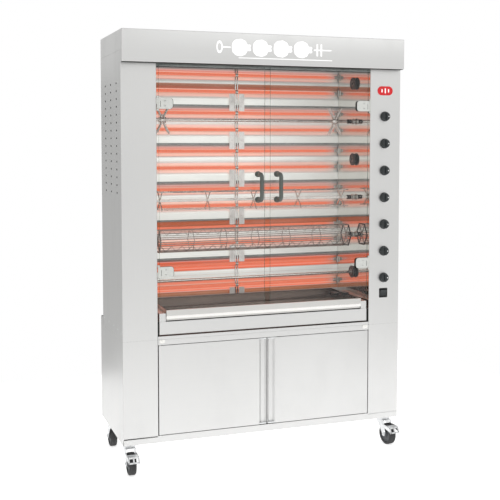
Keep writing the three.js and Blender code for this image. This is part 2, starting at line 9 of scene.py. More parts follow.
import bmesh
import bpy
import numpy as np
from bpy.props import FloatProperty, FloatVectorProperty, IntProperty, PointerProperty
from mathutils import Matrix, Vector


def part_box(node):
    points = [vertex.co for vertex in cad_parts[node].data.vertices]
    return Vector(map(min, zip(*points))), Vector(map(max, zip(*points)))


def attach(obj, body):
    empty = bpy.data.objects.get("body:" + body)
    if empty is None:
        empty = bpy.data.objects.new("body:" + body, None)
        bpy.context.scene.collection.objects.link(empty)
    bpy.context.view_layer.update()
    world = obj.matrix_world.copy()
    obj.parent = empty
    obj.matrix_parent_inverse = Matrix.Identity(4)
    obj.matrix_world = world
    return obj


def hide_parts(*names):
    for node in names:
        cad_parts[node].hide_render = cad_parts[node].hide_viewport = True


bl_info = {
    "name": "Rotisserie oven",
    "version": (1, 0, 0),
    "blender": (4, 5, 0),
    "location": "3D View > Sidebar > Rotisserie",
    "description": "Builds the visible pieces and finishes of a rotisserie oven round its frame",
    "category": "Add Mesh",
}

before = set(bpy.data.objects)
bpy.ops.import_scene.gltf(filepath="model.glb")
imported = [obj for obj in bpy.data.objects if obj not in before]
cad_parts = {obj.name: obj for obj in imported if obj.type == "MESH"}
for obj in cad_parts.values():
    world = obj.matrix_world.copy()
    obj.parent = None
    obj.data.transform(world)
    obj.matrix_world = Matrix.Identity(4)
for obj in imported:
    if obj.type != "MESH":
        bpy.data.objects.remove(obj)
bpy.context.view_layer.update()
MM = 0.001
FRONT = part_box("base_left_side")[0].y


def extent(node):
    """The node's (low, high) along X, Y and Z, in millimetres from the front plane."""
    low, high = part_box(node)
    shift = (0, FRONT, 0)
    return [((low[i] - shift[i]) / MM, (high[i] - shift[i]) / MM) for i in range(3)]


SIDE = extent("oven_left_side")
BASE = extent("base_left_side")
HEADER = extent("header_canopy")
TRAY = extent("drip_tray")
REFLECTOR = extent("rear_reflector")
HALF = -SIDE[0][0]
OPENING = -BASE[0][1]
LEVELS = [sum(extent(f"spit_drive_{k}")[2]) / 2 for k in range(1, 7)]
SPIT_Y = sum(extent("spit_drive_1")[1]) / 2
KNOBS = [sum(extent(f"knob_{k}")[2]) / 2 for k in range(1, 8)]
KNOB_X = sum(extent("knob_1")[0]) / 2
LAMPS = [level + way for level in LEVELS for way in (40.0, -40.0)]
LAMPS[-1] = extent("heater_bank_lower")[2][0] + 22
BETWEEN = REFLECTOR[0][1]
LINTEL = extent("cavity_roof")[2][0]
SIDES = (("left", -1), ("right", 1))
DIAGONALS = ((1, 1), (1, -1), (-1, 1), (-1, -1))
LAMP_Y = 352.0
HINGE_X, HINGE_Y = 508.0, -5.0
CASTER_X = 630.0
CASTER_Y = (68.0, 412.0)
FRONT_RIGHT_YAW = math.radians(8)


# ---------- surfaces ----------
def quads(rows, cols, wrap_rows=False, wrap_cols=False):
    """Faces between the neighbours of a grid of rows x cols points. A wrapped side also joins its last
    line to its first.
    """
    i = np.arange(rows if wrap_rows else rows - 1)[:, None]
    j = np.arange(cols if wrap_cols else cols - 1)[None, :]
    down, right = (i + 1) % rows, (j + 1) % cols
    corners = [i * cols + j, i * cols + right, down * cols + right, down * cols + j]
    return np.stack(np.broadcast_arrays(*corners), -1).reshape(-1, 4)


def rounded(path, radius, steps=4, closed=False):
    """A path of 2-D points with each corner turned into an arc that touches both of its legs radius /
    tan(half the corner) from it.
    """
    path = np.asarray(path, float)
    out = []
    count = len(path)
    for k in range(count):
        if not closed and k in (0, count - 1):
            out.append(path[k][None])
            continue
        before, here, after = path[k - 1], path[k], path[(k + 1) % count]
        u, v = before - here, after - here
        reach_u, reach_v = np.linalg.norm(u), np.linalg.norm(v)
        u, v = u / reach_u, v / reach_v
        half = math.acos(np.clip(u @ v, -1, 1)) / 2
        if half > math.pi / 2 - 0.02:
            out.append(here[None])
            continue
        r = radius[k] if hasattr(radius, "__len__") else radius
        reach = min(r / math.tan(half), 0.49 * reach_u, 0.49 * reach_v)
        r = reach * math.tan(half)
        middle = here + (u + v) / np.linalg.norm(u + v) * r / math.sin(half)
        start, end = here + u * reach - middle, here + v * reach - middle
        turn = math.atan2(start[0] * end[1] - start[1] * end[0], start @ end)
        a = np.linspace(0, turn, steps + 1)[:, None]
        out.append(middle + np.cos(a) * start + np.sin(a) * np.array([-start[1], start[0]]))
    return np.concatenate(out)


# The two directions that an outline lies in, and the one it is carried along.
AXES = {"x": (1, 2, 0), "y": (0, 2, 1), "z": (0, 1, 2)}
FINISH = {}


class Shape:
    """Points and faces in millimetres, gathered surface by surface. mark is the finish's place in the
    piece's list.
    """

    def __init__(self):
        self.points, self.faces, self.marks, self.count = [], [], [], 0

    def add(self, points, faces, mark=0):
        points = np.asarray(points, float).reshape(-1, 3)
        self.points.append(points)
        self.faces += [
            [i + self.count for i in face]
            for face in (f.tolist() if hasattr(f, "tolist") else f for f in faces)
        ]
        self.marks += [mark] * len(faces)
        self.count += len(points)
        return self

    def surface(self, grid, mark=0, wrap_rows=False, wrap_cols=False):
        """A grid of rows x cols points."""
        grid = np.asarray(grid, float)
        return self.add(grid, quads(*grid.shape[:2], wrap_rows, wrap_cols), mark)

    def prism(self, outline, span, axis="x", mark=0, cap_mark=None):
        """An outline in the two other directions, carried along axis over span, with a face at each
        end.
        """
        outline = np.asarray(outline, float)
        n = len(outline)
        grid = np.zeros((2, n, 3))
        a, b, c = AXES[axis]
        grid[..., a], grid[..., b] = outline[:, 0], outline[:, 1]
        grid[..., c] = np.array(span)[:, None]
        start = self.count
        self.surface(grid, mark, False, True)
        self.faces += [[start + i for i in end] for end in (range(n), range(2 * n - 1, n - 1, -1))]
        self.marks += [mark if cap_mark is None else cap_mark] * 2
        return self

    def box(self, x, y, z, mark=0):
        """A block with its limits along X, Y and Z."""
        return self.prism([(x[0], y[0]), (x[1], y[0]), (x[1], y[1]), (x[0], y[1])], z, "z", mark)

    def lathe(self, profile, middle, axis="x", sides=32, mark=0, closed=False):
        """A profile of (radius, distance) points turned about an axis through middle: radius * (cos a,
        sin a) round it, distance along it.
        """
        profile = np.asarray(profile, float)
        angle = np.arange(sides) * 2 * np.pi / sides
        a, b, c = AXES[axis]
        grid = np.zeros((len(profile), sides, 3))
        grid[..., a] = profile[:, :1] * np.cos(angle)
        grid[..., b] = profile[:, :1] * np.sin(angle)
        grid[..., c] = profile[:, 1:]
        return self.surface(grid + np.asarray(middle, float), mark, closed, True)

    def tube(self, path, radius, sides=8, mark=0, closed=False, reference=None):
        """A circle carried along a path of 3-D points: path + radius * (cos a * n + sin a * (t x n)),
        with t the path's direction and n square to it and to the reference.
        """
        path = np.asarray(path, float)
        along = np.roll(path, -1, 0) - np.roll(path, 1, 0) if closed else np.gradient(path, axis=0)
        along /= np.linalg.norm(along, axis=1)[:, None]
        if reference is None:
            reference = np.eye(3)[np.abs(along).max(0).argmin()]
        n = np.cross(along, reference)
        n /= np.linalg.norm(n, axis=1)[:, None]
        b = np.cross(along, n)
        angle = np.arange(sides) * 2 * np.pi / sides
        radius = np.broadcast_to(np.asarray(radius, float), len(path))[:, None, None]
        ring = np.cos(angle)[None, :, None] * n[:, None] + np.sin(angle)[None, :, None] * b[:, None]
        self.surface(path[:, None] + radius * ring, mark, closed, True)
        if not closed:
            last = self.count - sides
            first = self.count - sides * len(path)
            self.faces += [list(range(first, first + sides)), list(range(last, last + sides))]
            self.marks += [mark] * 2
        return self

    def build(
        self, name, body, finishes, slot=None, stands_for=(), bevel=None, smooth=35, wall=0, turn=None
    ):
        """Makes the mesh, in metres in the frame, and lets it ride on a body. bevel is (width in
        millimetres, segments), wall a thickness in millimetres under the faces.
        """
        points = np.concatenate(self.points)
        if turn is not None:
            points = turn(points)
        points = points * MM + np.array([0, FRONT, 0])
        mesh = bpy.data.meshes.new(name)
        mesh.from_pydata(points.tolist(), [], self.faces)
        mesh.polygons.foreach_set("material_index", self.marks)
        work = bmesh.new()
        work.from_mesh(mesh)
        bmesh.ops.remove_doubles(work, verts=work.verts, dist=2e-5)
        if not wall:
            bmesh.ops.recalc_face_normals(work, faces=work.faces)
        rims = {edge.index for edge in work.edges if edge.is_boundary}
        work.to_mesh(mesh)
        work.free()
        mesh.polygons.foreach_set("use_smooth", [True] * len(mesh.polygons))
        if not bevel:
            mesh.set_sharp_from_angle(angle=math.radians(smooth))
        for edge in rims:
            mesh.edges[edge].use_edge_sharp = True
        piece = bpy.data.objects.new(name, mesh)
        bpy.context.scene.collection.objects.link(piece)
        for key in finishes.split():
            mesh.materials.append(FINISH[key])
        if wall:
            solidify = piece.modifiers.new("Wall", "SOLIDIFY")
            solidify.thickness, solidify.offset = wall * MM, -1
            flat = piece.modifiers.new("Flat faces stay flat", "WEIGHTED_NORMAL")
            flat.keep_sharp, flat.weight = True, 90
        if bevel:
            soften(piece, *bevel)
        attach(piece, body)
        if stands_for:
            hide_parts(*stands_for)
        return piece


def soften(piece, width, segments=2, angle=40):
    """Rounds every edge sharper than angle, the way a folded or pressed edge is."""
    bevel = piece.modifiers.new("Edges", "BEVEL")
    bevel.width, bevel.segments = width * MM, segments
    bevel.limit_method, bevel.angle_limit = "ANGLE", math.radians(angle)
    bevel.harden_normals = True
    bevel.miter_outer = "MITER_ARC"


def keep(node, finish, width=0.6, segments=2):
    """Gives a CAD node its finish and softened edges. Its loose triangles are welded and its flat faces
    joined first.
    """
    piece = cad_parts[node]
    piece.data.materials.clear()
    piece.data.materials.append(FINISH[finish])
    weld = piece.modifiers.new("Weld", "WELD")
    weld.merge_threshold = 1e-5
    flat = piece.modifiers.new("Flat faces", "DECIMATE")
    flat.decimate_type, flat.angle_limit = "DISSOLVE", math.radians(1)
    if width:
        soften(piece, width, segments)
    return piece


# ---------- finishes ----------
class Value:
    """A number socket that takes part in Python arithmetic: each operator adds its Math node."""

    def __init__(self, finish, socket):
        self.finish, self.socket = finish, socket

    def maths(self, operation, a, b=0.0, limit=False):
        return self.finish.node(
            "ShaderNodeMath", {"operation": operation, "use_clamp": limit}, {0: a, 1: b}
        )

    def __add__(self, other):
        return self.maths("ADD", self, other)

    def __sub__(self, other):
        return self.maths("SUBTRACT", self, other)

    def __mul__(self, other):
        return self.maths("MULTIPLY", self, other)

    def __rsub__(self, other):
        return self.maths("SUBTRACT", other, self)

    __radd__, __rmul__ = __add__, __mul__

    def above(self, edge, softness):
        """0 below edge and 1 above it, over a softness either side."""
        return self.finish.node(
            "ShaderNodeMapRange", {"interpolation_type": "SMOOTHSTEP"},
            {"Value": self, "From Min": edge - softness, "From Max": edge + softness},
        )


class Finish:
    """A material: a Principled shader, and the nodes that feed it."""

    def __init__(self, name, **constants):
        self.material = bpy.data.materials.new(name)
        self.material.use_nodes = True
        self.tree = self.material.node_tree
        self.tree.nodes.clear()
        self.out = self.tree.nodes.new("ShaderNodeOutputMaterial")
        self.shader = self.tree.nodes.new("ShaderNodeBsdfPrincipled")
        self.tree.links.new(self.shader.outputs[0], self.out.inputs[0])
        for key, value in constants.items():
            self.shader.inputs[key.replace("_", " ")].default_value = value
        self.place = self.node("ShaderNodeTexCoord", out="Object")

    def node(self, kind, settings=None, inputs=None, out=0):
        """Adds a node: its settings first, then what its sockets hold or are linked to."""
        made = self.tree.nodes.new(kind)
        for key, value in (settings or {}).items():
            if key == "stops":
                ramp = made.color_ramp
                ramp.elements.remove(ramp.elements[0])
                ramp.elements[0].position, ramp.elements[0].color = value[0][0], (*value[0][1], 1)
                for position, colour in value[1:]:
                    ramp.elements.new(position).color = (*colour, 1)
            else:
                setattr(made, key, value)
        for key, value in (inputs or {}).items():
            self.join(value, made.inputs[key])
        return Value(self, made.outputs[out])

    def join(self, value, socket):
        if isinstance(value, Value):
            self.tree.links.new(value.socket, socket)
        elif socket.type == "RGBA" and len(value) == 3:
            socket.default_value = (*value, 1)
        else:
            socket.default_value = value

    def feed(self, **sockets):
        for key, value in sockets.items():
            self.join(value, self.shader.inputs[key.replace("_", " ")])
        return self

    def stretched(self, scale):
        return self.node("ShaderNodeMapping", {}, {"Vector": self.place, "Scale": scale})

    def noise(self, scale, detail=3.0, vector=None, roughness=0.5):
        where = self.place if vector is None else vector
        return self.node(
            "ShaderNodeTexNoise", {},
            {"Vector": where, "Scale": scale, "Detail": detail, "Roughness": roughness},
        )

    def blend(self, share, a, b):
        """Colour a where share is 0 and b where it is 1."""
        return self.node("ShaderNodeMix", {"data_type": "RGBA"}, {0: share, 6: a, 7: b}, out=2)

    def axis(self, letter):
        return self.node("ShaderNodeSeparateXYZ", {}, {0: self.place}, out=letter)

    def bump(self, height, strength, distance):
        return self.node(
            "ShaderNodeBump", {}, {"Height": height, "Strength": strength, "Distance": distance}
        )


def shade(colour, factor):
    return tuple(min(1.0, channel * factor) for channel in colour)


# How far the brushing noise is squeezed along X, Y and Z for lines that run along an axis.
BRUSH = {"x": (4, 620, 620), "z": (620, 620, 4)}


def brushed(name, colour, along, roughness=0.36, metal=0.92):
    """Satin stainless steel: hair lines along one axis, a slow cloud in tone and faint wiping marks."""
    f = Finish(name, Metallic=metal, Specular_IOR_Level=0.5)
    lines = f.noise(1.0, 2.0, f.stretched(BRUSH[along]), 0.7)
    cloud = f.noise(1.7, 3.0)
    wipes = f.noise(6.5, 5.0, f.stretched((1.0, 1.0, 0.55)), 0.65).above(0.58, 0.12)
    tone = f.blend(lines * 0.35 + cloud * 0.65, shade(colour, 0.93), shade(colour, 1.05))
    f.feed(Base_Color=f.blend(wipes * 0.25, tone, shade(colour, 0.93)))
    f.feed(Roughness=lines * 0.10 + wipes * 0.06 + (roughness - 0.05))
    f.feed(Normal=f.bump(lines, 0.05, 0.0003))
    return f.material


def polished(name, colour, roughness=0.12):
    """Bright-rolled sheet: a clear mirror with faint ripples and a few fine scratches."""
    f = Finish(name, Metallic=1.0)
    ripple = f.noise(5.0, 2.0, f.stretched((0.5, 1.0, 1.6)))
    scratches = f.noise(1.0, 2.0, f.stretched((30, 30, 900)), 0.8).above(0.66, 0.05)
    f.feed(Base_Color=f.blend(f.noise(9.0), shade(colour, 0.9), shade(colour, 1.04)))
    f.feed(Roughness=scratches * 0.08 + ripple * 0.06 + (roughness - 0.03))
    f.feed(Normal=f.bump(ripple, 0.25, 0.002))
    return f.material


def plated(name, colour, roughness=0.3, spangle=90.0):
    """Zinc or nickel plate: small crystals that differ in tone and gloss, dulled in patches."""
    f = Finish(name, Metallic=0.95)
    cells = f.node("ShaderNodeTexVoronoi", {}, {"Vector": f.place, "Scale": spangle}, out="Color")
    tone = f.node("ShaderNodeSeparateColor", {}, {0: cells}, out=0)
    dull = f.noise(22.0, 4.0).above(0.55, 0.15)
    f.feed(Base_Color=f.blend(tone * 0.5 + dull * 0.3, shade(colour, 1.06), shade(colour, 0.86)))
    f.feed(Roughness=tone * 0.08 + dull * 0.12 + (roughness - 0.05))
    f.feed(Normal=f.bump(f.noise(260.0, 2.0), 0.06, 0.0003))
    return f.material


def moulded(name, colour, roughness=0.45, grain=900.0, metal=0.0, glow=0.0):
    """Moulded plastic or paint: a fine grain and a slow change of tone."""
    f = Finish(name, Metallic=metal, Emission_Strength=glow)
    cloud = f.noise(28.0, 3.0)
    fine = f.noise(grain, 2.0)
    tone = f.blend(cloud, shade(colour, 0.82), shade(colour, 1.2))
    f.feed(Base_Color=tone)
    if glow:
        f.feed(Emission_Color=tone)
    f.feed(Roughness=cloud * 0.16 + fine * 0.08 + (roughness - 0.12))
    f.feed(Normal=f.bump(fine, 0.12, 0.0002))
    return f.material


def rubber(name, colour):
    """Tyre rubber, greyed by dust in patches."""
    f = Finish(name)
    dust = f.noise(60.0, 5.0, None, 0.7).above(0.52, 0.14)
    f.feed(Base_Color=f.blend(dust * 0.45, colour, shade(colour, 2.1)))
    f.feed(Roughness=dust * 0.15 + 0.62)
    f.feed(Normal=f.bump(f.noise(420.0, 3.0), 0.2, 0.0003))
    return f.material


def painted_lamp_light(name):
    """The rear reflector: bright sheet with painted lamp light, red to brown round each lamp and pale
    between the lamps.
    """
    # The emission is painted light: the sheet glows as if lit by the lamps, though it is no lamp.
    f = Finish(name, Metallic=0.82, Emission_Strength=0.36)
    height = f.axis("Z") * (1 / MM)
    drift = (f.noise(1.1, 2.0, f.stretched((1.0, 1.0, 0.2))) - 0.5) * 8.0
    pitch = LEVELS[0] - LEVELS[1]
    start = 105.0
    place = height + (drift - LEVELS[-1] + 2 * pitch + start)
    share = f.node(
        "ShaderNodeMath", {"operation": "FLOORED_MODULO"}, {0: place, 1: pitch}
    ) * (1 / pitch)
    pale, cream, peach = (0.84, 0.86, 0.82), (0.95, 0.84, 0.74), (0.95, 0.66, 0.54)
    pink, core = (0.66, 0.33, 0.28), (0.88, 0.36, 0.23)
    grey, dim = (0.30, 0.27, 0.26), (0.66, 0.58, 0.56)
    # Distance above a level, and the painted colour there: the lower lamp's bands of painted glow,
    # reflection and shade, then the upper lamp's.
    stops = [
        (-104, pale), (-60, pale), (-55, cream), (-49, peach), (-45, core), (-35, core),
        (-31, peach), (-26, cream), (-18, pale), (-11, pale), (-9, dim), (-6, pale),
        (10, pale), (16, dim), (19, cream), (25, cream), (31, peach), (35, core), (45, core),
        (49, peach), (53, pink), (60, dim), (64, grey), (75, grey), (77.5, pale),
    ]
    stops = [((offset + start) / pitch, colour) for offset, colour in stops]
    repeated = f.node("ShaderNodeValToRGB", {"stops": stops}, {0: share})
    # Greyer towards the right end: painted shade.
    far = f.axis("X").above(0.12, 0.1) * 0.35
    tone = f.blend(far, repeated, (0.50, 0.50, 0.48))
    # Painted lamp light round single lamps: the level they belong to, from and to above it, and their
    # colour.
    bands = (
        (0, -28, -3, (0.36, 0.15, 0.09)), (4, 44, 77, (0.44, 0.145, 0.06)),
        (5, 14, 58, (0.80, 0.22, 0.11)), (5, 22, 27, (0.95, 0.50, 0.36)),
        (5, 62, 66, (0.16, 0.06, 0.05)), (5, -84, -46, (0.82, 0.30, 0.17)),
        (5, -56, -50, (0.95, 0.62, 0.50)), (5, -78, -74, (0.95, 0.60, 0.46)),
        (5, -106, -86, (0.40, 0.14, 0.06)),
    )
    for level, low, high, colour in bands:
        low, high = LEVELS[level] + low, LEVELS[level] + high
        tone = f.blend(height.above(low, 2.0) * (1 - height.above(high, 3.0)), tone, colour)
    cloud = f.noise(3.0, 4.0, f.stretched((0.6, 1.0, 3.0))).above(0.6, 0.2) * 0.22
    tone = f.blend(cloud, tone, (0.55, 0.53, 0.50))
    f.feed(Base_Color=tone, Emission_Color=tone, Roughness=f.noise(14.0) * 0.1 + 0.34)
    f.feed(Normal=f.bump(f.noise(1.0, 2.0, f.stretched((3, 200, 200))), 0.05, 0.0004))
    return f.material


def glowing(name, colour, strength):
    """A lit quartz lamp: its coil shows as close bands in a glow that fades towards the ends."""
    f = Finish(name, Roughness=0.12, Emission_Strength=strength)
    along = f.axis("X")
    coil = f.node(
        "ShaderNodeMath", {"operation": "SINE"}, {0: along * (2 * math.pi / 0.007)}
    ) * 0.5 + 0.5
    far = f.node("ShaderNodeMath", {"operation": "ABSOLUTE"}, {0: along})
    ends = far.above(0.465, 0.035)
    uneven = f.noise(3.0, 2.0, f.stretched((1.0, 0.2, 0.2)))
    glow = f.blend(coil * 0.5 + uneven * 0.4, shade(colour, 0.82), shade(colour, 1.14))
    f.feed(Base_Color=(0.30, 0.11, 0.08), Emission_Color=f.blend(ends, glow, (0.36, 0.20, 0.18)))
    return f.material


def clear_glass(name, tint):
    """Toughened glass: a faint tint, under a mirror that grows at a shallow angle."""
    f = Finish(name)
    clear = f.tree.nodes.new("ShaderNodeBsdfTransparent")
    clear.inputs[0].default_value = (*shade(tint, 1.2), 1)
    gloss = f.tree.nodes.new("ShaderNodeBsdfGlossy")
    gloss.inputs["Roughness"].default_value = 0.03
    mirror = f.node("ShaderNodeFresnel", {}, {"IOR": 1.45})
    mix = f.tree.nodes.new("ShaderNodeMixShader")
    f.join(mirror * 0.8, mix.inputs[0])
    f.tree.links.new(clear.outputs[0], mix.inputs[1])
    f.tree.links.new(gloss.outputs[0], mix.inputs[2])
    f.tree.links.new(mix.outputs[0], f.out.inputs[0])
    f.tree.nodes.remove(f.shader)
    return f.material


def glass_edge(name, colour):
    """The ground edge of the glass, where its own green shows."""
    f = Finish(name, Roughness=0.25, Alpha=0.85)
    f.feed(Base_Color=f.blend(f.noise(120.0), shade(colour, 0.85), shade(colour, 1.15)))
    return f.material


def make_finishes(chosen):
    """Every finish of the oven, from the colours in the panel."""
    steel = tuple(chosen.steel)
    FINISH.update(
        steel_x=brushed("steel brushed across", steel, "x"),
        steel_z=brushed("steel brushed up and down", steel, "z"),
        polished=polished("bright steel", (0.80, 0.79, 0.77)),
        mirror=polished("bright steel wall", (0.74, 0.73, 0.70), 0.07),
        # The reflector's colour bands and glow are painted lamp light, reflection and shade.
        reflector=painted_lamp_light("heat tinted reflector"),
        lamp=glowing("lit quartz lamp", tuple(chosen.lamp), chosen.glow),
        glass=clear_glass("clear glass", (0.86, 0.93, 0.90)),
        glass_edge=glass_edge("green glass edge", (0.10, 0.19, 0.16)),
        black=moulded("black plastic", tuple(chosen.knob)),
        socket_black=moulded("black drive socket", (0.010, 0.010, 0.011), 0.4),
        grip=moulded("grey handle coating", tuple(chosen.grip), 0.4),
        zinc=plated("zinc plate", (0.78, 0.79, 0.80)),
        clamp=plated("matt nickel plate", (0.74, 0.75, 0.72), 0.34, 260.0),
        spit=plated("spit steel", (0.80, 0.77, 0.73), 0.2, 400.0),
        tyre=rubber("tyre rubber", (0.028, 0.028, 0.029)),
        blackened=moulded("blackened steel", (0.014, 0.014, 0.015), 0.38, 400.0, 0.4),
        plate=plated("bright plate", (0.93, 0.92, 0.89), 0.4, 120.0),
        # Basket wire: the spits' steel made darker as painted shade, so the wires look dark against the
        # lit reflector.
        wire=plated("basket wire", (0.44, 0.42, 0.39), 0.28, 400.0),
        # Darker grey steel, used as painted shade on the lintel, the cavity roof and the reflector
        # seams.
        dull=plated("dull grey steel", (0.34, 0.36, 0.35), 0.42, 200.0),
        # Dark brown steel for the tray's inside: painted shade and reflection of the dark hollow.
        used=polished("used tray steel", (0.34, 0.29, 0.26), 0.2),
        # Near black: mineral wool board whose dark colour is painted shade behind the vents.
        wool=moulded("mineral wool board", (0.05, 0.05, 0.048), 0.95, 500.0),
        enamel=moulded("dark enamel", (0.07, 0.075, 0.08), 0.5, 300.0),
        chain=plated("oiled chain steel", (0.30, 0.29, 0.28), 0.35, 300.0),
        ceramic=moulded("lamp ceramic", (0.68, 0.66, 0.62), 0.5, 500.0),
        red=moulded("red enamel", tuple(chosen.badge), 0.25, 200.0),
        # The white print glows a little: painted light, so that it reads as bright white.
        white=moulded("white print", (0.97, 0.97, 0.97), 0.5, 300.0, glow=0.35),
        # Black gasket: the real rubber of the clamp gaskets, and painted shade in the hood strips and
        # the louvre openings.
        rubber=moulded("black gasket", (0.015, 0.016, 0.015), 0.6),
    )


# ---------- what a user may change ----------
class OvenLooks(bpy.types.PropertyGroup):
    """Colours and glow of the oven's finishes."""

    steel: FloatVectorProperty(
        name="Steel", description="Satin stainless steel of the panels", subtype="COLOR", size=3, min=0,
        max=1, default=(0.74, 0.74, 0.735),
    )
    lamp: FloatVectorProperty(
        name="Lamp", description="Glow of the quartz lamps", subtype="COLOR", size=3, min=0, max=1,
        default=(0.68, 0.14, 0.065),
    )
    glow: FloatProperty(
        name="Lamp strength", description="How strongly the lamps shine", min=0, max=20, default=1.0
    )
    knob: FloatVectorProperty(
        name="Knobs", description="Moulded knobs and switch", subtype="COLOR", size=3, min=0, max=1,
        default=(0.022, 0.027, 0.029),
    )
    grip: FloatVectorProperty(
        name="Door handles", description="Coating of the glass door handles", subtype="COLOR", size=3,
        min=0, max=1, default=(0.105, 0.12, 0.11),
    )
    badge: FloatVectorProperty(
        name="Badge", description="Enamel of the plain badge", subtype="COLOR", size=3, min=0, max=1,
        default=(0.72, 0.015, 0.02),
    )


class OvenSizes(bpy.types.PropertyGroup):
    """Sizes of the details that the frame doesn't give."""

    vent: FloatProperty(
        name="Vent hole", description="Half the height of a vent slot in the side panels, mm", min=1,
        max=7, default=4.5,
    )
    vent_rows: IntProperty(
        name="Vent rows", description="Slots in each of the three columns", min=1, max=27, default=15
    )
    bend: FloatProperty(
        name="Bend radius", description="Outer radius of the sheet steel bends, mm", min=1, max=8,
        default=3,
    )
    wire: FloatProperty(
        name="Basket wire", description="Radius of the basket's wire, mm", min=0.5, max=3, default=1.7
    )


def looks():
    return bpy.context.scene.rotisserie_looks


def sizes():
    return bpy.context.scene.rotisserie_sizes


# ---------- folded sheet ----------
SHEET = 1.5
# The side of the square of 4 x 4 cells round a vent, and the pitch of the vents in a column.
VENT_TILE = 34.0
# The border points of such a square, in order round it.
RING = np.array(
    [(k, 0) for k in range(4)] + [(4, k) for k in range(4)] + [(4 - k, 4) for k in range(4)]
    + [(0, 4 - k) for k in range(4)]
)


def stations(line):
    """Distance along a path at each of its points."""
    return np.concatenate([[0], np.cumsum(np.linalg.norm(np.diff(line, axis=0), axis=1))])


def station(line, point):
    """Distance along a path to the place nearest to a point."""
    a, legs = line[:-1], np.diff(line, axis=0)
    share = np.clip(((point - a) * legs).sum(1) / (legs ** 2).sum(1), 0, 1)
    nearest = np.linalg.norm(a + share[:, None] * legs - point, axis=1).argmin()
    return stations(line)[nearest] + share[nearest] * np.linalg.norm(legs[nearest])


def lines(*parts):
    """Sorted grid lines with near doubles taken out."""
    values = np.sort(np.concatenate([np.atleast_1d(p) for p in parts]))
    return values[np.concatenate([[True], np.diff(values) > 0.05])]


def pierced(s, z, holes, reach):
    """Points (s, z) and faces of a sheet with oval holes. A hole takes 4 x 4 cells, and 16 faces run
    from their border to the oval: the direction of a border point from the hole's middle, times the
    oval's reach along s and z.
    """
    grid = np.stack(np.meshgrid(s, z, indexing="ij"), -1).reshape(-1, 2)
    faces = quads(len(s), len(z))
    if not len(holes):
        return grid, faces
    holes = np.asarray(holes, float)
    middle = grid[faces].mean(1)
    inside = (np.abs(middle[:, None] - holes[None]) < VENT_TILE / 2).all(2).any(1)
    corner = holes[:, :, None] - VENT_TILE / 2
    row, column = (np.abs(line - corner[:, k]).argmin(1)[:, None] for k, line in enumerate((s, z)))
    border = (row + RING[:, 0]) * len(z) + column + RING[:, 1]
    away = grid[border] - holes[:, None]
    circle = holes[:, None] + np.array(reach) * away / np.linalg.norm(away, axis=2, keepdims=True)
    inner = len(grid) + np.arange(border.size).reshape(border.shape)
    ring = np.stack([border, inner, np.roll(inner, -1, 1), np.roll(border, -1, 1)], -1).reshape(-1, 4)
    return np.concatenate([grid, circle.reshape(-1, 2)]), np.concatenate([faces[~inside], ring])


def folded_sheet(path, z, holes=(), reach=(4.0, 4.0), keep_cell=None, extra=(), bright_return=False):
    """A vertical sheet whose plan follows a path with rounded bends: point (s, z) lies at the path's
    place s and height z.
    """
    line = rounded(path, sizes().bend)
    along = stations(line)
    tiles = [h[0] + np.linspace(-0.5, 0.5, 5) * VENT_TILE for h in holes]
    s = lines(along, *[station(line, np.array(p)) for p in extra], *tiles)
    points, faces = pierced(s, z, holes, reach)

    def spot(s):
        """X and Y of the places s along the path."""
        return [np.interp(s, along, line[:, k]) for k in (0, 1)]

    if keep_cell is not None:
        middle = points[faces].mean(1)
        faces = faces[keep_cell(*spot(middle[:, 0]), middle[:, 1])]
    place = np.stack([*spot(points[:, 0]), points[:, 1]], 1)
    if line[-1, 0] > 0:
        faces = faces[:, ::-1]
    shape = Shape().add(place, faces)
    if bright_return:
        middle = place[faces].mean(1)
        bright = (np.abs(middle[:, 0]) < OPENING + 0.1) & (middle[:, 1] > sizes().bend)
        shape.marks = bright.astype(int).tolist()
    return shape


def post_path(side, jamb, depth):
    """A side sheet seen from above: the return behind the post, the post and the side panel."""
    return [(side * OPENING, jamb), (side * OPENING, 0), (side * HALF, 0), (side * HALF, depth)]


def crossing(xs, y, zs):
    """Every place with one of the xs and one of the zs, at one y."""
    return [(x, y, z) for x in xs for z in zs]


def screws(shape, places, axis, way, radius=4.0, mark=0):
    """Raised screw heads: a dome turned about the axis, with a shallow dip in its middle."""
    dome = [(0.0, 0.35), (0.25, 0.38), (0.45, 0.62), (0.75, 0.5), (0.95, 0.25), (1.0, 0.0)]
    dome = np.array(dome) * radius
    dome[:, 1] *= way * 0.8
    for place in places:
        shape.lathe(dome, place, axis, 12, mark)
    return shape


def loop(x0, x1, z0, z1, radius, steps=4):
    """A rectangle's outline with round corners."""
    return rounded([(x0, z0), (x1, z0), (x1, z1), (x0, z1)], radius, steps, closed=True)


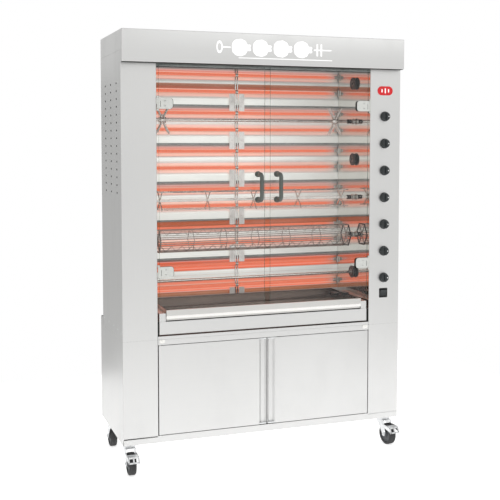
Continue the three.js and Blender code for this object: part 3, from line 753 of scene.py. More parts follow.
class BuildStage(bpy.types.Operator):
    """Makes the pale floor, the soft studio light and the camera"""

    bl_idname = "rotisserie.stage"
    bl_label = "Stage"

    def execute(self, context):
        scene = context.scene
        scene.view_settings.view_transform = "Standard"
        world = bpy.data.worlds.new("soft studio")
        scene.world = world
        world.use_nodes = True
        tree = world.node_tree
        tree.nodes.clear()

        def add(kind, **settings):
            made = tree.nodes.new(kind)
            for key, value in settings.items():
                setattr(made, key, value)
            return made

        out, mix = add("ShaderNodeOutputWorld"), add("ShaderNodeMixShader")
        plain, soft = add("ShaderNodeBackground"), add("ShaderNodeBackground")
        plain.inputs[0].default_value = (1, 1, 1, 1)
        path, where = add("ShaderNodeLightPath"), add("ShaderNodeTexCoord")
        parts = add("ShaderNodeSeparateXYZ")
        ramp = add("ShaderNodeValToRGB")
        fall = [(0.0, 0.85), (0.42, 0.80), (0.56, 0.60), (0.75, 0.50), (1.0, 0.54)]
        while len(ramp.color_ramp.elements) < len(fall):
            ramp.color_ramp.elements.new(0.5)
        for element, (position, level) in zip(ramp.color_ramp.elements, fall):
            element.position, element.color = position, (level, level, level * 0.99, 1)
        half = add("ShaderNodeMapRange")
        half.inputs["From Min"].default_value, half.inputs["From Max"].default_value = -1, 1
        link = tree.links.new
        link(where.outputs["Generated"], parts.inputs[0])
        link(parts.outputs["Y"], half.inputs["Value"])
        link(half.outputs[0], ramp.inputs[0])
        link(ramp.outputs[0], soft.inputs[0])
        link(path.outputs["Is Camera Ray"], mix.inputs[0])
        link(soft.outputs[0], mix.inputs[1])
        link(plain.outputs[0], mix.inputs[2])
        link(mix.outputs[0], out.inputs[0])

        left, right, near, far = -1.9, 1.9, -2.2, 1.6
        mesh = bpy.data.meshes.new("floor")
        corners = [(left, near, 0), (right, near, 0), (right, far, 0), (left, far, 0)]
        mesh.from_pydata(corners, [], [(0, 1, 2, 3)])
        floor = bpy.data.objects.new("floor", mesh)
        scene.collection.objects.link(floor)
        pale = Finish("pale floor", Roughness=0.9, Emission_Strength=0.62, Specular_IOR_Level=0.1)
        pale.feed(
            Base_Color=pale.blend(pale.noise(0.6), (0.90, 0.90, 0.90), (0.92, 0.92, 0.92)),
            Emission_Color=(1, 1, 1),
        )
        mesh.materials.append(pale.material)

        lights = (
            ("key", (2.2, -4.2, 4.2), 18, 3.0), ("fill", (-3.6, -3.2, 2.6), 3, 2.4),
            ("back", (-0.5, 4.2, 3.4), 12, 3.0),
        )
        for name, place, power, width in lights:
            light = bpy.data.lights.new(name, "AREA")
            light.energy, light.size = power, width
            lamp = bpy.data.objects.new(name, light)
            lamp.location = place
            lamp.rotation_mode = "QUATERNION"
            lamp.rotation_quaternion = (Vector(place) - Vector((0, 0, 1.0))).to_track_quat("Z", "Y")
            scene.collection.objects.link(lamp)

        camera_data = bpy.data.cameras.new("camera")
        camera_data.lens, camera_data.sensor_width, camera_data.shift_y = 66.79, 36, -0.0974
        camera = bpy.data.objects.new("camera", camera_data)
        camera.location = (-1.482, -4.1389, 1.461)
        yaw, pitch = math.radians(19.62), math.radians(3.62)
        level = math.cos(pitch)
        ahead = Vector((math.sin(yaw) * level, math.cos(yaw) * level, -math.sin(pitch)))
        camera.rotation_mode = "QUATERNION"
        camera.rotation_quaternion = ahead.to_track_quat("-Z", "Y")
        scene.collection.objects.link(camera)
        scene.camera = camera
        return {"FINISHED"}


class BuildCabinet(bpy.types.Operator):
    """Folds the cabinet's sides and finishes its floor, deck and back"""

    bl_idname = "rotisserie.cabinet"
    bl_label = "Cabinet"

    def execute(self, context):
        depth = BASE[1][1]
        bottom, top = BASE[2]
        deck = extent("base_deck")[2][1]
        rail = extent("base_door_left")[2][0]
        rise, jamb = 50.0, 26.0
        for name, side in SIDES:
            path = post_path(side, jamb, depth)
            corner = sizes().bend

            def shown(x, y, z):
                wrap = (z > rail) & (z < deck)
                return wrap | (
                    (np.abs(x) > HALF - 0.01) & (y > corner) & ((z < rail) | (y > depth - rise))
                )

            shape = folded_sheet(
                path, lines(bottom, rail, deck, top), keep_cell=shown,
                extra=[(side * HALF, depth - rise)],
            )
            shape.build(
                f"cabinet_side_{name}", "root", "steel_z", "satin_steel", [f"base_{name}_side"],
                wall=SHEET,
            )
        keep("base_back", "steel_x")
        keep("base_floor", "steel_x", 0.7)
        keep("base_deck", "steel_x", 0.7)
        trim = Shape()
        screws(trim, crossing((-640, -320, 0, 320, 640), depth, (bottom + 18, top - 14)), "y", 1)
        screws(trim, crossing((-650, 650), depth, (260, 380, 500)), "y", 1)
        trim.build("cabinet_back_screws", "root", "zinc", "zinc_steel")
        pivots = Shape()
        strip = extent("base_door_left")[2][1]
        for side in (-1, 1):
            pivots.prism(
                loop(side * 494 - 13, side * 494 + 13, strip + 3, strip + 19, 6), (-2.2, -0.2), "y"
            )
            screws(pivots, [(side * 498, -2.2, strip + 11)], "y", -1, 4)
        pivots.build("door_pivot_plates", "root", "plate", "zinc_steel", bevel=(0.5, 2))
        return {"FINISHED"}


class BuildCabinetDoors(bpy.types.Operator):
    """Presses the two cabinet doors, each with a scooped finger channel down its meeting edge"""

    bl_idname = "rotisserie.cabinet_doors"
    bl_label = "Cabinet doors"

    def execute(self, context):
        for name, side in SIDES:
            (x0, x1), (_, back), (low, high) = extent(f"base_door_{name}")
            low, high = low + 7, high - 7
            outer = max(abs(x0), abs(x1))
            lip, mouth, scoop = 1.5, 42.0, 15.5
            share = np.linspace(0, 1, 18)
            x = mouth - (mouth - lip - 1.5) * share
            fall = np.sin(np.clip(share * 2.3, 0, 1) * math.pi / 2) ** 2
            y = scoop * fall - 10.0 * np.clip(share - 0.8, 0, 1) / 0.2
            start = [
                (outer, back), (outer, 1.2), (outer - 0.4, 0.4), (outer - 1.2, 0), (mouth + 2.0, 0)
            ]
            outline = np.concatenate([start, np.stack([x, y], 1), [(lip, y[-1] + 1.5), (lip, back)]])
            door = Shape().prism(outline * (side, 1), (low + 1.0, high - 1.0), "z")
            door.build(
                f"cabinet_door_{name}", f"base_door_{name}", "steel_x", "satin_steel",
                [f"base_door_{name}"], bevel=(0.8, 2),
            )
            pins = Shape()
            pin = [(0, 0), (2.6, 0), (3.4, 0.8), (3.4, 8.5), (0, 8.5)]
            for z, way in ((low - 7, 1), (high + 7, -1)):
                pins.lathe(np.array(pin) * (1, way), (side * 502, 6, z), "z", 16)
            for z in (low + 1.0, high - 7.0):
                pins.prism(loop(lip + 1.5, 40, 3, 14.5, 3) * (side, 1), (z, z + 6.0), "z")
            pins.build(
                f"cabinet_door_pins_{name}", f"base_door_{name}", "zinc", "zinc_steel", bevel=(0.5, 1)
            )
        return {"FINISHED"}


class BuildShell(bpy.types.Operator):
    """Folds the oven's sides with their vent holes, the header and the louvred back cover"""

    bl_idname = "rotisserie.shell"
    bl_label = "Oven shell"

    def execute(self, context):
        depth = 445.0
        low, high = SIDE[2]
        jamb = 110.0
        reach = (2.2 * sizes().vent, sizes().vent)
        columns, top_row = (89, 213, 337), 1718.0
        vents = top_row - VENT_TILE * np.arange(sizes().vent_rows)
        rocker = extent("power_rocker")
        window = [rocker[0][0] - 0.8, rocker[0][1] + 0.8, rocker[2][0] - 3, rocker[2][1] + 3]
        for name, side in SIDES:
            path = post_path(side, jamb, depth)
            line = rounded(path, sizes().bend)
            holes = [(station(line, np.array((side * HALF, y))), z) for y in columns for z in vents]
            z = lines(
                low, high, *[v + np.linspace(-0.5, 0.5, 5) * VENT_TILE for v in vents], window[2],
                window[3],
            )
            extra, shown = [], None
            if side > 0:
                extra = [(window[0], 0), (window[1], 0)]

                def shown(x, y, z):
                    return ~(
                        (x > window[0]) & (x < window[1]) & (y < 1) & (z > window[2]) & (z < window[3])
                    )

            shape = folded_sheet(path, z, holes, reach, shown, extra, bright_return=True)
            shape.build(
                f"oven_side_{name}", "root", "steel_z mirror", "satin_steel", [f"oven_{name}_side"],
                wall=SHEET,
            )
            # A real insulation board behind the vents, made near black as painted shade inside the vent
            # holes.
            board = Shape().prism(
                loop(side * (HALF - 30), side * (HALF - 12), 14, depth - 14, 3), (low + 30, high - 24),
                "z",
            )
            board.build(f"insulation_{name}", "root", "wool", "black_plastic", bevel=(1.5, 2))
            trim = Shape()
            screws(trim, [(side * HALF, y, 637) for y in (96, 187, 300, 410)], "x", side, 3.4)
            screws(trim, [(side * HALF, 31, 629)], "x", side, 3.0)
            trim.build(f"side_screws_{name}", "root", "zinc", "zinc_steel")
            self.hinges(name, side)
        keep("oven_bottom", "steel_x", 0.7)
        self.header()
        self.back(depth, low, high)
        return {"FINISHED"}

    def hinges(self, name, side):
        """Arms and pins that carry the glass door, welded to the post's return."""
        shape = Shape()
        root, tip, rear, front = side * (OPENING + 1), side * 503.5, 8, -9.5
        arm = [(root, rear), (tip, rear), (tip, front), (root, front)]
        for place in ("upper", "lower"):
            low, high = extent(f"glass_clamp_{name}_{place}")[2]
            for z in (low - 7, high + 1):
                shape.prism(rounded(arm, 4, closed=True), (z, z + 6), "z")
            pin = [
                (0, low - 9), (2, low - 9), (2.6, low - 8), (2.6, high + 8), (2, high + 9),
                (0, high + 9),
            ]
            shape.lathe(pin, (side * HINGE_X, HINGE_Y, 0), "z", 16)
        shape.build(f"hinge_arms_{name}", "root", "clamp", "zinc_steel", bevel=(0.6, 2))

    def header(self):
        """One folded hood: its profile is carried across, and its ends are closed."""
        (x0, x1), (front, back), (nose, top) = HEADER
        seam = SIDE[2][1] + 0.3
        profile = rounded(
            [(front, nose), (front, top), (back, top), (back, seam), (-0.3, seam), (-0.3, nose)],
            [2.5, 4, 4, 1, 1, 1], closed=True,
        )
        hood = Shape().prism(profile, (x0, x1), "x")
        hood.build("header_hood", "root", "steel_x", "satin_steel", ["header_canopy"], bevel=(2.2, 3))
        # Black strips as painted shade: under the hood's nose, under the lintel, low in each jamb and
        # along the seam where the oven sits on the cabinet.
        shade_strips = Shape().box((x0 + 4, x1 - 4), (front + 2.5, -0.5), (nose - 2.2, nose + 0.6))
        shade_strips.box((-BETWEEN, BETWEEN), (8.4, 12), (LINTEL - 3.5, LINTEL + 0.4))
        for side in (-1, 1):
            shade_strips.box((side * (OPENING - 9), side * (OPENING - 0.4)), (10, 13), (BASE[2][1] - 26, 674))
            shade_strips.box(
                (side * (OPENING - 1), side * (HALF - 1.2)), (0.3, 3),
                (SIDE[2][0] - 2.2, SIDE[2][0] + 0.1),
            )
            shade_strips.box(
                (side * (HALF - 1.0), side * (HALF - 3)), (2, 440), (SIDE[2][0] - 2.2, SIDE[2][0] + 0.1)
            )
        shade_strips.build("hood_shade_strips", "root", "rubber", "black_plastic", bevel=(0.6, 2))

    def back(self, depth, low, high):
        """Back cover: a plate with two banks of half-round louvres, each a hood that swells out by its
        length and height and is open below, with a thin black strip in the opening as painted shade.
        """
        plate = Shape()
        plate.prism(loop(-HALF + 2, HALF - 2, low + 0.5, high - 0.5, 3), (depth - SHEET, depth), "y")
        plate.build("back_cover", "root", "steel_x", "satin_steel", ["oven_back_cover"], bevel=(0.5, 1))
        hoods, shade_slots = Shape(), Shape()
        u, v = np.linspace(-1, 1, 17)[:, None], np.linspace(0, 1, 7)[None, :]
        swell = 8.0 * (1 - u ** 8) * np.sin(v * math.pi / 2)
        louvres = [first - 42 * k for first, count in ((1720, 9), (1010, 6)) for k in range(count)]
        for x in (-330, 330):
            for z in louvres:
                grid = np.stack(np.broadcast_arrays(x + 110 * u, depth + swell, z - 16 * v), -1)
                hoods.surface(grid)
                # A thin black strip under each hood: painted shade in the opening.
                shade_slots.prism(loop(x - 104, x + 104, z - 17, z - 13, 1.5), (depth, depth + 0.3), "y")
        hoods.build("back_louvres", "root", "steel_x", "satin_steel", smooth=60, wall=0.8)
        shade_slots.build("louvre_shade_strips", "root", "rubber", "black_enamel")
        trim = Shape()
        screws(trim, crossing((-650, 650), depth, np.linspace(low + 30, high - 30, 7)), "y", 1)
        screws(trim, crossing((-400, -130, 130, 400), depth, (low + 48, high - 20)), "y", 1)
        trim.build("back_screws", "root", "zinc", "zinc_steel")
        (x0, x1), (near, far), (z0, z1) = extent("cable_gland")
        nut = [(0, 0), (15, 0), (15, 5), (14, 7), (11, 7), (11, 8), (10, 9)]
        ribs = [(10.4 if i % 2 else 9.2, 9 + i * 1.1) for i in range(1, 9)]
        mouth = [(8, far - near), (5.5, far - near), (5.5, 12), (0, 12)]
        gland = Shape().lathe(nut + ribs + mouth, ((x0 + x1) / 2, near, (z0 + z1) / 2), "y", 24)
        gland.build("flex_gland", "root", "black", "black_plastic", ["cable_gland"])


class BuildCavity(bpy.types.Operator):
    """Lines the cavity and fits the rear reflector, the lamps, their supports and the drip tray"""

    bl_idname = "rotisserie.cavity"
    bl_label = "Cavity and lamps"

    def execute(self, context):
        for node in ("cavity_left_wall", "cavity_right_wall"):
            keep(node, "mirror", 0.4)
        # The lintel and roof take the darker dull grey: painted shade, as they lie in the hood's shadow.
        keep("cavity_roof", "dull", 0.6)
        keep("cavity_floor", "steel_x", 0.5)
        self.tray()
        keep("drive_chain", "chain", 0)
        keep("gear_motor", "enamel", 1.5)
        self.reflector()
        for name, first in (("upper", 0), ("middle", 4), ("lower", 8)):
            self.lamps(name, LAMPS[first:first + 4])
        self.trim()
        return {"FINISHED"}

    def reflector(self):
        """One sheet: its depth at height z is the sum over the lamps of depth * (1 + cos(pi * d /
        mouth)) / 2 for d, the distance to a lamp, under mouth.
        """
        low, high = REFLECTOR[2]
        face, depth, mouth = 354.0, 17.5, 36.0
        z = np.unique(
            np.concatenate([[low, high], *[h + np.linspace(-mouth, mouth, 17) for h in LAMPS]])
        )
        z = z[(z >= low) & (z <= high)]
        away = np.clip(np.abs(z[:, None] - np.array(LAMPS)[None]), 0, mouth)
        y = face + depth * ((1 + np.cos(np.pi * away / mouth)) / 2).max(1)
        x = np.linspace(REFLECTOR[0][0], REFLECTOR[0][1], 25)
        grid = np.stack(np.broadcast_arrays(x[None, :], y[:, None], z[:, None]), -1)
        sheet = Shape().surface(grid[:, ::-1])
        sheet.build(
            "curved_reflector", "root", "reflector", "polished_steel", ["rear_reflector"], wall=1.0,
            smooth=60,
        )
        # Dark strips along the reflector's seams, in the dull grey: painted shade below each seam.
        seams = Shape()
        strip = np.array([(face - 2.2, -4), (face - 2.2, 4), (face + 0.5, 5), (face + 0.5, -5)])
        for level in LEVELS[:-1]:
            seams.prism(rounded(strip + (0, level - 108), 1, closed=True), REFLECTOR[0], "x")
        seams.build("reflector_seams", "root", "dull", "polished_steel")

    def lamps(self, name, heights):
        """Quartz tubes with ceramic ends, in clips on a bar each side and by the middle support."""
        y, half, bar = LAMP_Y, 496.0, 508.5
        quartz = [(0, -half), (5.4, -half), (6.4, -half + 3), (6.4, half - 3), (5.4, half), (0, half)]
        cap = np.array(
            [(0, 489), (7.6, 489), (8.4, 490), (8.4, 506), (7.4, 507.5), (3, 507.5), (3, 510), (0, 510)]
        )
        parts = Shape()
        for z in heights:
            parts.lathe(quartz, (0, y, z), "x", 20, 0)
            for way in (-1, 1):
                parts.lathe(cap * (1, way), (0, y, z), "x", 20, 1)
        parts.build(
            f"quartz_lamps_{name}", "root", "lamp ceramic", "lamp_quartz", [f"heater_bank_{name}"]
        )
        rails = Shape()
        for side in (-1, 1):
            for z in heights:
                rails.prism(
                    loop(side * bar - 3.5, side * bar + 3.5, z - 15, z + 15, 3), (340, 343), "y"
                )
        for z in heights:
            rails.lathe([(7.2, -7), (8.6, -7), (8.6, 7), (7.2, 7)], (-29, y, z), "x", 20, closed=True)
        rails.build(f"lamp_clips_{name}", "root", "clamp", "zinc_steel", bevel=(0.4, 1))

    def trim(self):
        """The middle support: a bright channel between neighbouring lamps, with a plate each side of it
        between the levels.
        """
        column, plates = Shape(), Shape()
        heights = [REFLECTOR[2][1] - 4, *LAMPS, REFLECTOR[2][0] + 4]
        for k, (top, bottom) in enumerate(zip(heights[:-1], heights[1:])):
            span = (bottom + (9 if k < len(LAMPS) else 0), top - (9 if k else 0))
            for x in (-36, -25):
                column.prism(
                    rounded([(x - 3.5, 353), (x - 2.5, 347), (x + 2.5, 347), (x + 3.5, 353)], 1.2),
                    span, "z",
                )
            if k % 2 == 0 and k:
                for x0, x1 in ((-68, -41), (-19, 9)):
                    plates.prism(loop(x0, x1, span[0] + 1, span[1] - 1, 3), (344, 345.6), "y")
                    screws(plates, [((x0 + x1) / 2, 344, sum(span) / 2)], "y", -1, 3)
        column.build("lamp_column", "root", "polished", "zinc_steel", bevel=(0.5, 2))
        plates.build("lamp_support_plates", "root", "plate", "zinc_steel", bevel=(0.4, 2))

    def tray(self):
        """Drip tray: the front panel with its folded lip, the four walls and the floor, which is bright
        outside and darkened inside with painted shade and reflection.
        """
        (x0, x1), (front, back), (low, high) = TRAY
        front, wall = front + 5, 1.5
        shape = Shape()
        rim = loop(x0, x1, front, back, 6)
        inner = loop(x0 + wall, x1 - wall, front + wall, back - wall, 5)
        foot, bottom = (loop(x0 + d, x1 - d, front + d, back - d, r) for d, r in ((2, 5), (4, 4)))
        rows = [foot, rim, rim, inner, inner, bottom]
        heights = [low, low + 2, high, high, low + 4, low + wall]
        grid = np.stack([np.insert(row, 2, z, axis=1) for row, z in zip(rows, heights)])
        shape.surface(grid, wrap_cols=True)
        n = len(rim)
        # Faces from the inner walls on take the second finish: painted shade inside the tray.
        shape.marks = [int(i >= 3 * n) for i in range(len(shape.marks))]
        shape.add(grid[0], [list(range(n))], 0)
        shape.add(grid[-1], [list(range(n))], 1)
        lip = [(2, high - 1.5), (-4, high - 1.5), (-4, low + 10), (-5, low + 10), (-5, high), (2, high)]
        shape.prism(rounded(lip, 0.8, 2, closed=True) + (front, 0), (x0, x1), "x")
        shape.prism(loop(380, x1 - 0.5, 131, 145, 2), (high + 0.2, high + 2), "z")
        for a, b in ((386, 414), (432, 464)):
            shape.prism(loop(a, b, 112, 162, 4), (high + 2, high + 12), "z", 2)
        shape.build(
            "tray_pressing", "drip_tray", "polished used socket_black", "polished_steel", ["drip_tray"],
            bevel=(0.5, 2),
        )


class BuildGlassDoors(bpy.types.Operator):
    """Glazes the two doors, with their clamps, gaskets, screws and bow handles"""

    bl_idname = "rotisserie.glass_doors"
    bl_label = "Glass doors"

    def execute(self, context):
        for name, side in SIDES:
            (x0, x1), (y0, y1), (z0, z1) = extent(f"glass_door_{name}")
            pane = Shape().prism(loop(x0, x1, z0, z1, 2.5), (y0, y1), "y", 1, 0)
            pane.build(
                f"glass_pane_{name}", f"glass_door_{name}", "glass glass_edge", "clear_glass",
                [f"glass_door_{name}"], bevel=(0.6, 1),
            )
            for place in ("upper", "lower"):
                self.clamp(name, side, place, y1)
            self.handle(name, y1)
        return {"FINISHED"}

    def clamp(self, name, side, place, back):
        node = f"glass_clamp_{name}_{place}"
        low, high = extent(node)[2]
        pin = (side * HINGE_X, HINGE_Y, 0)
        inner, outer, edge = 441.5, 506.6, 503.4
        face, rear, screw_x = -6.5, 11, side * 477
        metal, soft = Shape(), Shape()

        def plate(near, far):
            corners = np.array([(far, low), (near, low), (near, high), (far, high)]) * (side, 1)
            return rounded(corners, [1.5, 13, 13, 1.5], 5, closed=True)

        front, sleeve = plate(inner, outer), plate(inner - 2.4, edge - 0.5)
        metal.prism(front, (face, -3.0), "y")
        metal.prism(front, (back + 0.9, rear), "y")
        metal.box((side * edge, side * outer), (-1.5, back + 1.5), (low + 0.2, high - 0.2))
        metal.lathe(
            [(2.7, low), (4.4, low + 0.4), (4.4, high - 0.4), (2.7, high)], pin, "z", 20, closed=True
        )
        soft.prism(sleeve, (-3.0, -0.02), "y")
        soft.prism(sleeve, (back + 0.02, back + 0.9), "y")
        screw_z = (low + 13, high - 13)
        for y, way in ((face, -1), (rear, 1)):
            screws(metal, [(screw_x, y, z) for z in screw_z], "y", way, 4.6)
        for z in screw_z:
            soft.prism(loop(screw_x - 2.4, screw_x + 2.4, z - 0.45, z + 0.45, 0.3), (-9.2, -8.2), "y")
        soft.box((side * 495.8, side * 497.6), (face - 0.1, face + 0.2), (low + 9, high - 14))
        metal.build(
            f"door_clamp_{name}_{place}", f"glass_door_{name}", "clamp", "zinc_steel", [node],
            bevel=(0.8, 2),
        )
        soft.build(f"clamp_gasket_{name}_{place}", f"glass_door_{name}", "rubber", "black_plastic")

    def handle(self, name, back):
        """A round bar along a bow: out of the glass, round a bend, down along it and back, with a
        flange at each end.
        """
        (x0, x1), (near, _), (low, high) = extent(f"door_handle_{name}")
        radius = 9.2
        x = (x0 + x1) / 2
        out = near + (x1 - x0) / 2
        low, high = low + (x1 - x0) / 2, high - (x1 - x0) / 2
        bow = rounded([(-1, high), (out, high), (out, low), (-1, low)], 17, 8)
        grip = Shape().tube(np.insert(bow, 0, x, axis=1), radius, 20, reference=(1, 0, 0))
        for z in (low, high):
            flange = np.array(
                [(0, 0), (13, 0), (13.6, -0.6), (13.6, -3.0), (12.4, -4.4), (radius, -4.8), (0, -4.8)],
                float,
            )
            grip.lathe(flange + (0, -0.1), (x, 0, z), "y", 28)
            rear = np.array(
                [(0, 0), (13, 0), (13.4, 0.6), (12.6, 3.0), (7, 3.6), (6, 2.4), (0, 2.4)], float
            )
            grip.lathe(rear + (0, back + 0.1), (x, 0, z), "y", 28)
        grip.build(
            f"bow_handle_{name}", f"glass_door_{name}", "grip", "handle_grip", [f"door_handle_{name}"],
            smooth=50,
        )


class BuildControls(bpy.types.Operator):
    """Makes the seven knobs and the rocker switch with its frame"""

    bl_idname = "rotisserie.controls"
    bl_label = "Knobs and switch"

    def execute(self, context):
        for k, z in enumerate(KNOBS, 1):
            knob = Shape()
            skirt = [
                (0, -1), (22.4, -1), (23.2, -1.8), (23.2, -4.5), (22.4, -5.4), (20.4, -6.4),
                (19.4, -17.6), (18.4, -19.4), (16.4, -20), (0, -20),
            ]
            knob.lathe(skirt, (KNOB_X, 0, z), "y", 48)
            bar = rounded(
                [(-3.2, -19), (3.2, -19), (4.2, 19), (-4.2, 19)], [3, 3, 3.5, 3.5], 4, closed=True
            )
            knob.prism(bar + (KNOB_X, z), (-27, -18), "y")
            dot = [(0, -20.5), (2.6, -20.5), (2.6, -19.5), (0, -19.5)]
            shaft = [(0, -1.5), (3, -1.5), (3, 13.6), (0, 13.6)]
            knob.lathe(dot, (KNOB_X + 12, 0, z), "y", 16, 1)
            knob.lathe(shaft, (KNOB_X, 0, z), "y", 12)
            knob.build(
                f"control_knob_{k}", f"knob_{k}", "black white", "black_plastic", [f"knob_{k}"],
                bevel=(0.5, 2),
            )
        keep("power_rocker", "black", 1.0, 3)
        (x0, x1), _, (z0, z1) = extent("power_rocker")
        rings = [(0.3, 3.2), (0.3, -0.8), (0.9, -1.6), (3.6, -1.9), (5.2, -1.2), (5.6, -0.2)]
        rows = [loop(x0 - d, x1 + d, z0 - d - 2.4, z1 + d + 2.4, 1.5 + d / 2) for d, _ in rings]
        grid = np.stack([np.insert(row, 1, y, axis=1) for row, (_, y) in zip(rows, rings)])
        Shape().surface(grid, wrap_cols=True).build(
            "switch_frame", "root", "socket_black", "black_plastic", smooth=50
        )
        return {"FINISHED"}


class BuildDrives(bpy.types.Operator):
    """Makes the six spit drives: socket disc, shaft and sprocket"""

    bl_idname = "rotisserie.drives"
    bl_label = "Spit drives"

    def execute(self, context):
        sides = 48
        angle = np.arange(sides) * 2 * np.pi / sides
        circle = np.stack([np.cos(angle), np.sin(angle)], 1)
        square = circle / np.abs(circle).max(1)[:, None]
        teeth = circle * (24.4 + 1.6 * np.cos(angle * 16))[:, None]
        for k, z in enumerate(LEVELS, 1):
            shape = Shape()
            middle = np.array([SPIT_Y, z])
            large = k in (1, 3, 6)
            wide = 29.5 if large else 14.5
            finishes = "socket_black chain" if large else "clamp chain"
            rows = [
                (510.5, 0 * square), (510.5, 6.4 * square), (500.1, 6.4 * square),
                (499.5, 7.0 * square), (499.5, 10 * circle),
                (500.2, 11 * circle), (500.6, (wide - 4) * circle), (499.8, (wide - 3) * circle),
                (499.8, (wide - 1) * circle),
                (500.8, wide * circle), (505.4, wide * circle), (511.4, 9 * circle), (523, 8 * circle),
                (523, 22 * circle), (523.4, teeth - 0.6 * circle), (524.4, teeth), (527.6, teeth),
                (528.6, teeth - 0.6 * circle), (529, 22 * circle), (529, 8 * circle),
                (539.5, 8 * circle),
                (540, 7.4 * circle), (540, 0 * circle),
            ]
            grid = np.stack([np.insert(row + middle, 0, x, axis=1) for x, row in rows])
            shape.surface(grid, wrap_cols=True)
            shape.marks = [
                int(i >= 12 * sides or 3 * sides <= i < 5 * sides) for i in range(len(shape.marks))
            ]
            shape.build(
                f"drive_disc_{k}", f"spit_drive_{k}", finishes, "black_plastic", [f"spit_drive_{k}"],
                smooth=40,
            )
        return {"FINISHED"}


# The turned tip that lies in the rest: radius, and place along the spit.
TIP = ((0, -512), (4.4, -512), (5, -511.4))


def square_bar(z, half, radius):
    """The outline of a square bar of a spit at height z."""
    return loop(SPIT_Y - half, SPIT_Y + half, z - half, z + half, radius, 2)


def collar(shape, z, start, width, radius, chamfer):
    """A blackened collar on a spit at height z, from start along it."""
    bore, end, bevel = 5, start + width, 0.8
    edge = radius - chamfer
    profile = [
        (bore, start), (edge, start), (radius, start + bevel), (radius, end - bevel), (edge, end),
        (bore, end),
    ]
    shape.lathe(profile, (0, SPIT_Y, z), "x", 28, 1, closed=True)


def straight(x, y, z):
    """A path along X through the given places, at one y and z."""
    return np.stack([x, np.full(len(x), y), np.full(len(x), z)], 1)


